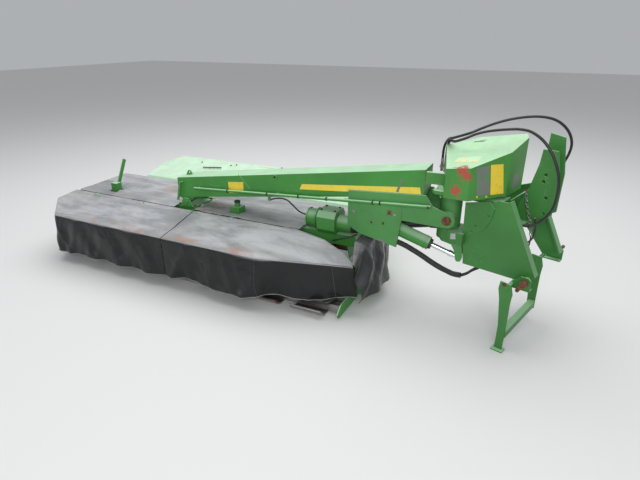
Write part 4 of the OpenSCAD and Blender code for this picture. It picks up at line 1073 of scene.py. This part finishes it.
print(len(MARKINGS), "markings on")

# %% [markdown]
# ## Bolts
#
# A bolt head is a washer, a six-sided head with eased edges and a low dome. It is modelled once at
# the origin, pointing up, and copied to each place with its own mesh.

# %% Bolts


def twin_of(model):
    twin = model.copy()
    twin.data = model.data.copy()
    scene.collection.objects.link(twin)
    return twin


def copied(model, spots):
    """Copies of a model that points up at the origin, each at its own place and direction, as one
    piece."""
    made = []
    for place, direction in spots:
        twin = twin_of(model)
        twin.location = place
        twin.rotation_euler = turned_to(direction)
        made.append(twin)
    bpy.data.objects.remove(model)
    return join(made)


def hex_head(size):
    start()
    bpy.ops.mesh.primitive_cylinder_add(vertices=6, radius=size, depth=size * 0.75,
                                        location=(0, 0, size * 0.55))
    apply_modifier(bpy.context.object, "BEVEL", width=size * 0.1, segments=2, limit_method="ANGLE")
    return bpy.context.object


def bolt(size):
    washer = [(0, 0), (1.25, 0), (1.25, 0.16), (0.9, 0.22), (0, 0.22)]
    dome = [(0.55, 0.9), (0.5, 1.1), (0.3, 1.2), (0, 1.22)]
    rounds = [spun([(size * r, size * h) for r, h in profile], (0, 0, 0), (0, 0, 1), steps)
              for profile, steps in ((washer, 20), (dome, 16))]
    model = join([rounds[0], hex_head(size), rounds[1]])
    pick(model)
    bpy.ops.object.transform_apply(location=True, rotation=True, scale=True)
    return model


def bolts(name, size, body, paint, spots):
    settle(copied(bolt(size), [(at(*spot), way) for *spot, way in spots]), name, paint, body, 30)


print("a bolt head is a washer, a hexagon and a dome")

# %% [markdown]
# The bolts on the fork plate have rusted, and those that hold the guard's sign have its yellow. Each
# bolt has a place and the way that its head looks.

# %% Bolts in place
NEAR, UP = (0, -1, 0), (0, 0, 1)
GUARD_SIDE, HOOD_UP, LEG_OUT = (0.72, -0.70, 0), (0, -0.28, 0.96), (-0.28, -0.96, 0)
bolts("skirt_bolts", 0.011, "boom", worn_steel, [(636, 564, 830, NEAR), (992, 560, 855, NEAR)])
bolts("skirt_rusty_bolts", 0.009, "boom", rusty_steel,
      [(944, 560, 859, NEAR), (1262, 528, 965, NEAR), (800, 560, 757, NEAR), (899, 560, 764, NEAR)])
bolts("guard_bolts", 0.006, "swing_frame", sign_vinyl,
      [(1617, 456, 1123, GUARD_SIDE), (1674, 515, 1117, GUARD_SIDE)])
bolts("hood_bolts", 0.008, "mower_unit", black_plastic,
      [(-1346, 1612, 753.5, HOOD_UP), (-1279, 1633, 760, HOOD_UP), (-696, 1687, 775.5, HOOD_UP),
       (-1760, 1600, 750.5, HOOD_UP), (-300, 1600, 750.5, HOOD_UP)])
bolts("saddle_bolts", 0.013, "mower_unit", rusty_steel,
      [(x, y, 614, UP) for x in (-1241, -1059) for y in (572, 828)])
bolts("gearbox_bolts", 0.009, "mower_unit", black_plastic,
      [(x, y, 780, UP) for x in (322, 448) for y in (606, 716)])
bolts("leg_bolts", 0.012, "stand", rusty_steel, [(1902, 328, 544, LEG_OUT)])
bolts("chain_bolt", 0.010, "headstock", rusty_steel, [(1923, 741, 1139, LEG_OUT)])
print("bolts on")

# %% [markdown]
# ## Gearbox, buffer, gland and pins
#
# The round things are outlines spun about their own axis: the gearbox flange with its seal, the rim
# that clamps the rubber cone, the rubber buffer under the boom, the gland nut that closes the lift
# cylinder, and the worn face of the lift pin.

# %% Round pieces


def round_piece(name, body, paint, place, direction, profile):
    """A spun piece with everything in the drawing's millimetres."""
    piece = spun([(r / 1000, h / 1000) for r, h in profile], at(*place), direction, 48)
    settle(piece, name, paint, body, 40)


ALONG = (1, 0, 0)
FOOT, ROD_WAY = Vector((817, 642, 766)), Vector((703, 0, -218)).normalized()
round_piece("gearbox_flange", "mower_unit", green_paint, (258, 662, 674), ALONG,
            [(81, 0), (95, 0), (98, 3), (98, 11), (95, 14), (81, 14)])
round_piece("gearbox_seal", "mower_unit", black_plastic, (284, 662, 674), ALONG,
            [(81, 0), (88, 1), (90, 5), (90, 9), (88, 13), (81, 14)])
round_piece("gearbox_rear_rim", "mower_unit", green_paint, (176, 662, 674), ALONG,
            [(81, 0), (88, 0), (90, 2), (90, 8), (88, 10), (81, 10)])
round_piece("stop_buffer", "mower_unit", black_plastic, (-600, 650, 697), UP,
            [(25, 0), (29, 2), (31, 8), (30, 15), (25, 20), (12, 22), (0, 22)])
round_piece("cylinder_gland", "cylinder_barrel", black_plastic, FOOT + ROD_WAY * 478, ROD_WAY,
            [(21, 0.2), (50, 0.2), (50, 4), (43, 6), (43, 20), (40, 23), (26, 24), (21, 24)])
round_piece("barrel_band", "cylinder_barrel", green_paint, FOOT + ROD_WAY * 440, ROD_WAY,
            [(54.6, 0), (58, 1), (58, 9), (54.6, 10)])
round_piece("lift_pin_face", "swing_frame", rusty_steel, (1405, 563.5, 866), NEAR,
            [(0, 0), (33, 0), (36, 2), (36, 5), (33, 7), (10, 7), (7, 4), (0, 4)])
print("round pieces made")

# %% [markdown]
# ## Weld, latch rod, rail clips and strap
#
# A weld is a low bead that wanders a little, so it is a tube along a line whose points are nudged by
# noise. The latch rod of the hood, the clips on the rail and the rubber strap that ties the
# bunched sheet are tubes too.

# %% Beads, clips and strap


def bead(name, first, last, radius, paint, body, wander=0.0008):
    first, last = at(*first), at(*last)
    way = [first.lerp(last, i / 40) for i in range(41)]
    way = [place + Vector((0, 0, wander * ruffle(place, 0.012, 2.0))) for place in way]
    swell = [1 + 0.18 * ruffle(place, 0.009, 5.0) for place in way]
    settle(tube(way, radius, swell, 2), name, paint, body)


bead("boom_weld", (-516, 580, 1001), (-401, 580, 882), 0.0035, green_paint, "boom")
bead("skirt_weld", (590, 579, 1003), (1196, 579, 1045), 0.0040, skirt_paint, "boom")
bead("hood_latch", (-1655, 1478, 729), (-1420, 1520, 741), 0.0065, black_plastic, "mower_unit", 0.0)
RAIL_FIRST, RAIL_LAST = Vector((-1030, 558, 808)), Vector((1280, 543, 966))
RAIL = RAIL_LAST - RAIL_FIRST
CLIP = [(0.013, 0), (0.0165, 0.001), (0.0165, 0.013), (0.013, 0.014)]
clips = [(at(*(RAIL_FIRST + RAIL * ((x - RAIL_FIRST.x) / RAIL.x))), RAIL.normalized())
         for x in (-640, -205, 115, 386, 800, 862)]
settle(copied(spun(CLIP, (0, 0, 0), (0, 0, 1), 20), clips), "rail_clips", black_plastic, "boom")
strap_way = smooth_route([(655, 618, 601), (618, 582, 588), (560, 556, 572), (500, 546, 552), (456, 556, 530),
                          (448, 590, 520)], 6)
strap = settle(tube(strap_way, 0.0065), "sheet_strap", hose_rubber, "mower_unit")
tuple(strap_way[0])
route_length(strap_way)
print("strap", round(route_length(strap_way), 3), "m")

# %% [markdown]
# ## Chain and hook
#
# A short chain with a rusty hook hangs from the plates of the top link. One link is a torus drawn out
# along its length; every second copy is turned by a quarter.

# %% Chain


QUARTER_TURN = Matrix.Rotation(math.pi / 2, 3, "X").to_quaternion()


def chain(name, points, pitch, wire):
    way = smooth_route(points, 6)
    way = even_steps(way, int(route_length(way) / pitch))
    start()
    bpy.ops.mesh.primitive_torus_add(
        major_segments=16, minor_segments=6, major_radius=pitch * 0.40, minor_radius=wire)
    model = bpy.context.object
    model.scale = (1.75, 1.0, 1.0)
    model.rotation_mode = "QUATERNION"
    links = []
    for i, (a, b) in enumerate(zip(way, way[1:])):
        link = twin_of(model)
        link.rotation_quaternion = (b - a).to_track_quat("X", "Z")
        if i % 2:
            link.rotation_quaternion = link.rotation_quaternion @ QUARTER_TURN
        link.location = (a + b) / 2
        links.append(link)
    bpy.data.objects.remove(model)
    settle(join(links), name, worn_steel, "headstock", 60)


chain("plate_chain", [(1923, 733, 1130), (1934, 727, 1085), (1950, 722, 1020), (1976, 714, 941),
                      (1998, 708, 870), (2012, 705, 800)], 0.024, 0.0028)
hook_way = smooth_route([(2012, 705, 800), (2014, 705, 760), (2010, 705, 715), (1999, 708, 690),
                         (1984, 712, 690), (1977, 714, 708), (1978, 714, 724)], 6)
# the last third of the hook tapers to its point
taper = [1 - 0.45 * max(0, i / len(hook_way) - 0.7) / 0.3 for i in range(len(hook_way))]
settle(tube(hook_way, 0.0055, taper, 3), "chain_hook", rusty_steel, "headstock")
print("chain and hook made")

# %% [markdown]
# The CAD parts keep their shape and get these finishes by name. A part that isn't in the list is
# painted green like the frame. The hidden CAD hoses and sheets are listed too, next to the soft pieces
# that stand for them.

# %% Give every CAD part its finish
FINISH = {
    guard_paint: ["drive_guard"],
    boom_paint: ["boom_beam", "support_rail"],
    skirt_paint: ["boom_fork", "swing_hub"],
    hood_paint: ["conditioner_hood"],
    leg_paint: ["headstock_frame", "top_link_plates", "parking_stand", "input_gearbox"],
    worn_steel: ["cutter_bar", "wear_shoes", "input_shaft", "shaft_slider", "hose_fittings", "hose_coupler",
                 *(f"disc_{i}" for i in range(1, 8))],
    rusty_steel: ["hitch_pins", "conditioner_rotor", "upright_tines", "level_tines"],
    rod_chrome: ["lift_rod"],
    black_plastic: ["drive_cone", "shaft_tube", "hose_sleeve", "sleeve_middle", "sleeve_end"],
    hose_rubber: ["rising_hoses", "outer_hose", "inner_hose", "sleeve_tails", "breather_hose", "looped_hose"],
    tarpaulin: ["outboard_guard_tarp", "inboard_guard_tarp", "top_tarp"],
    end_sheet: ["end_curtains"],
}
finish_of = {name: paint for paint, names in FINISH.items() for name in names}
for name, part in nodes.items():
    part.data.materials.clear()
    part.data.materials.append(finish_of.get(name, green_paint))
print(len(nodes), "CAD parts painted")
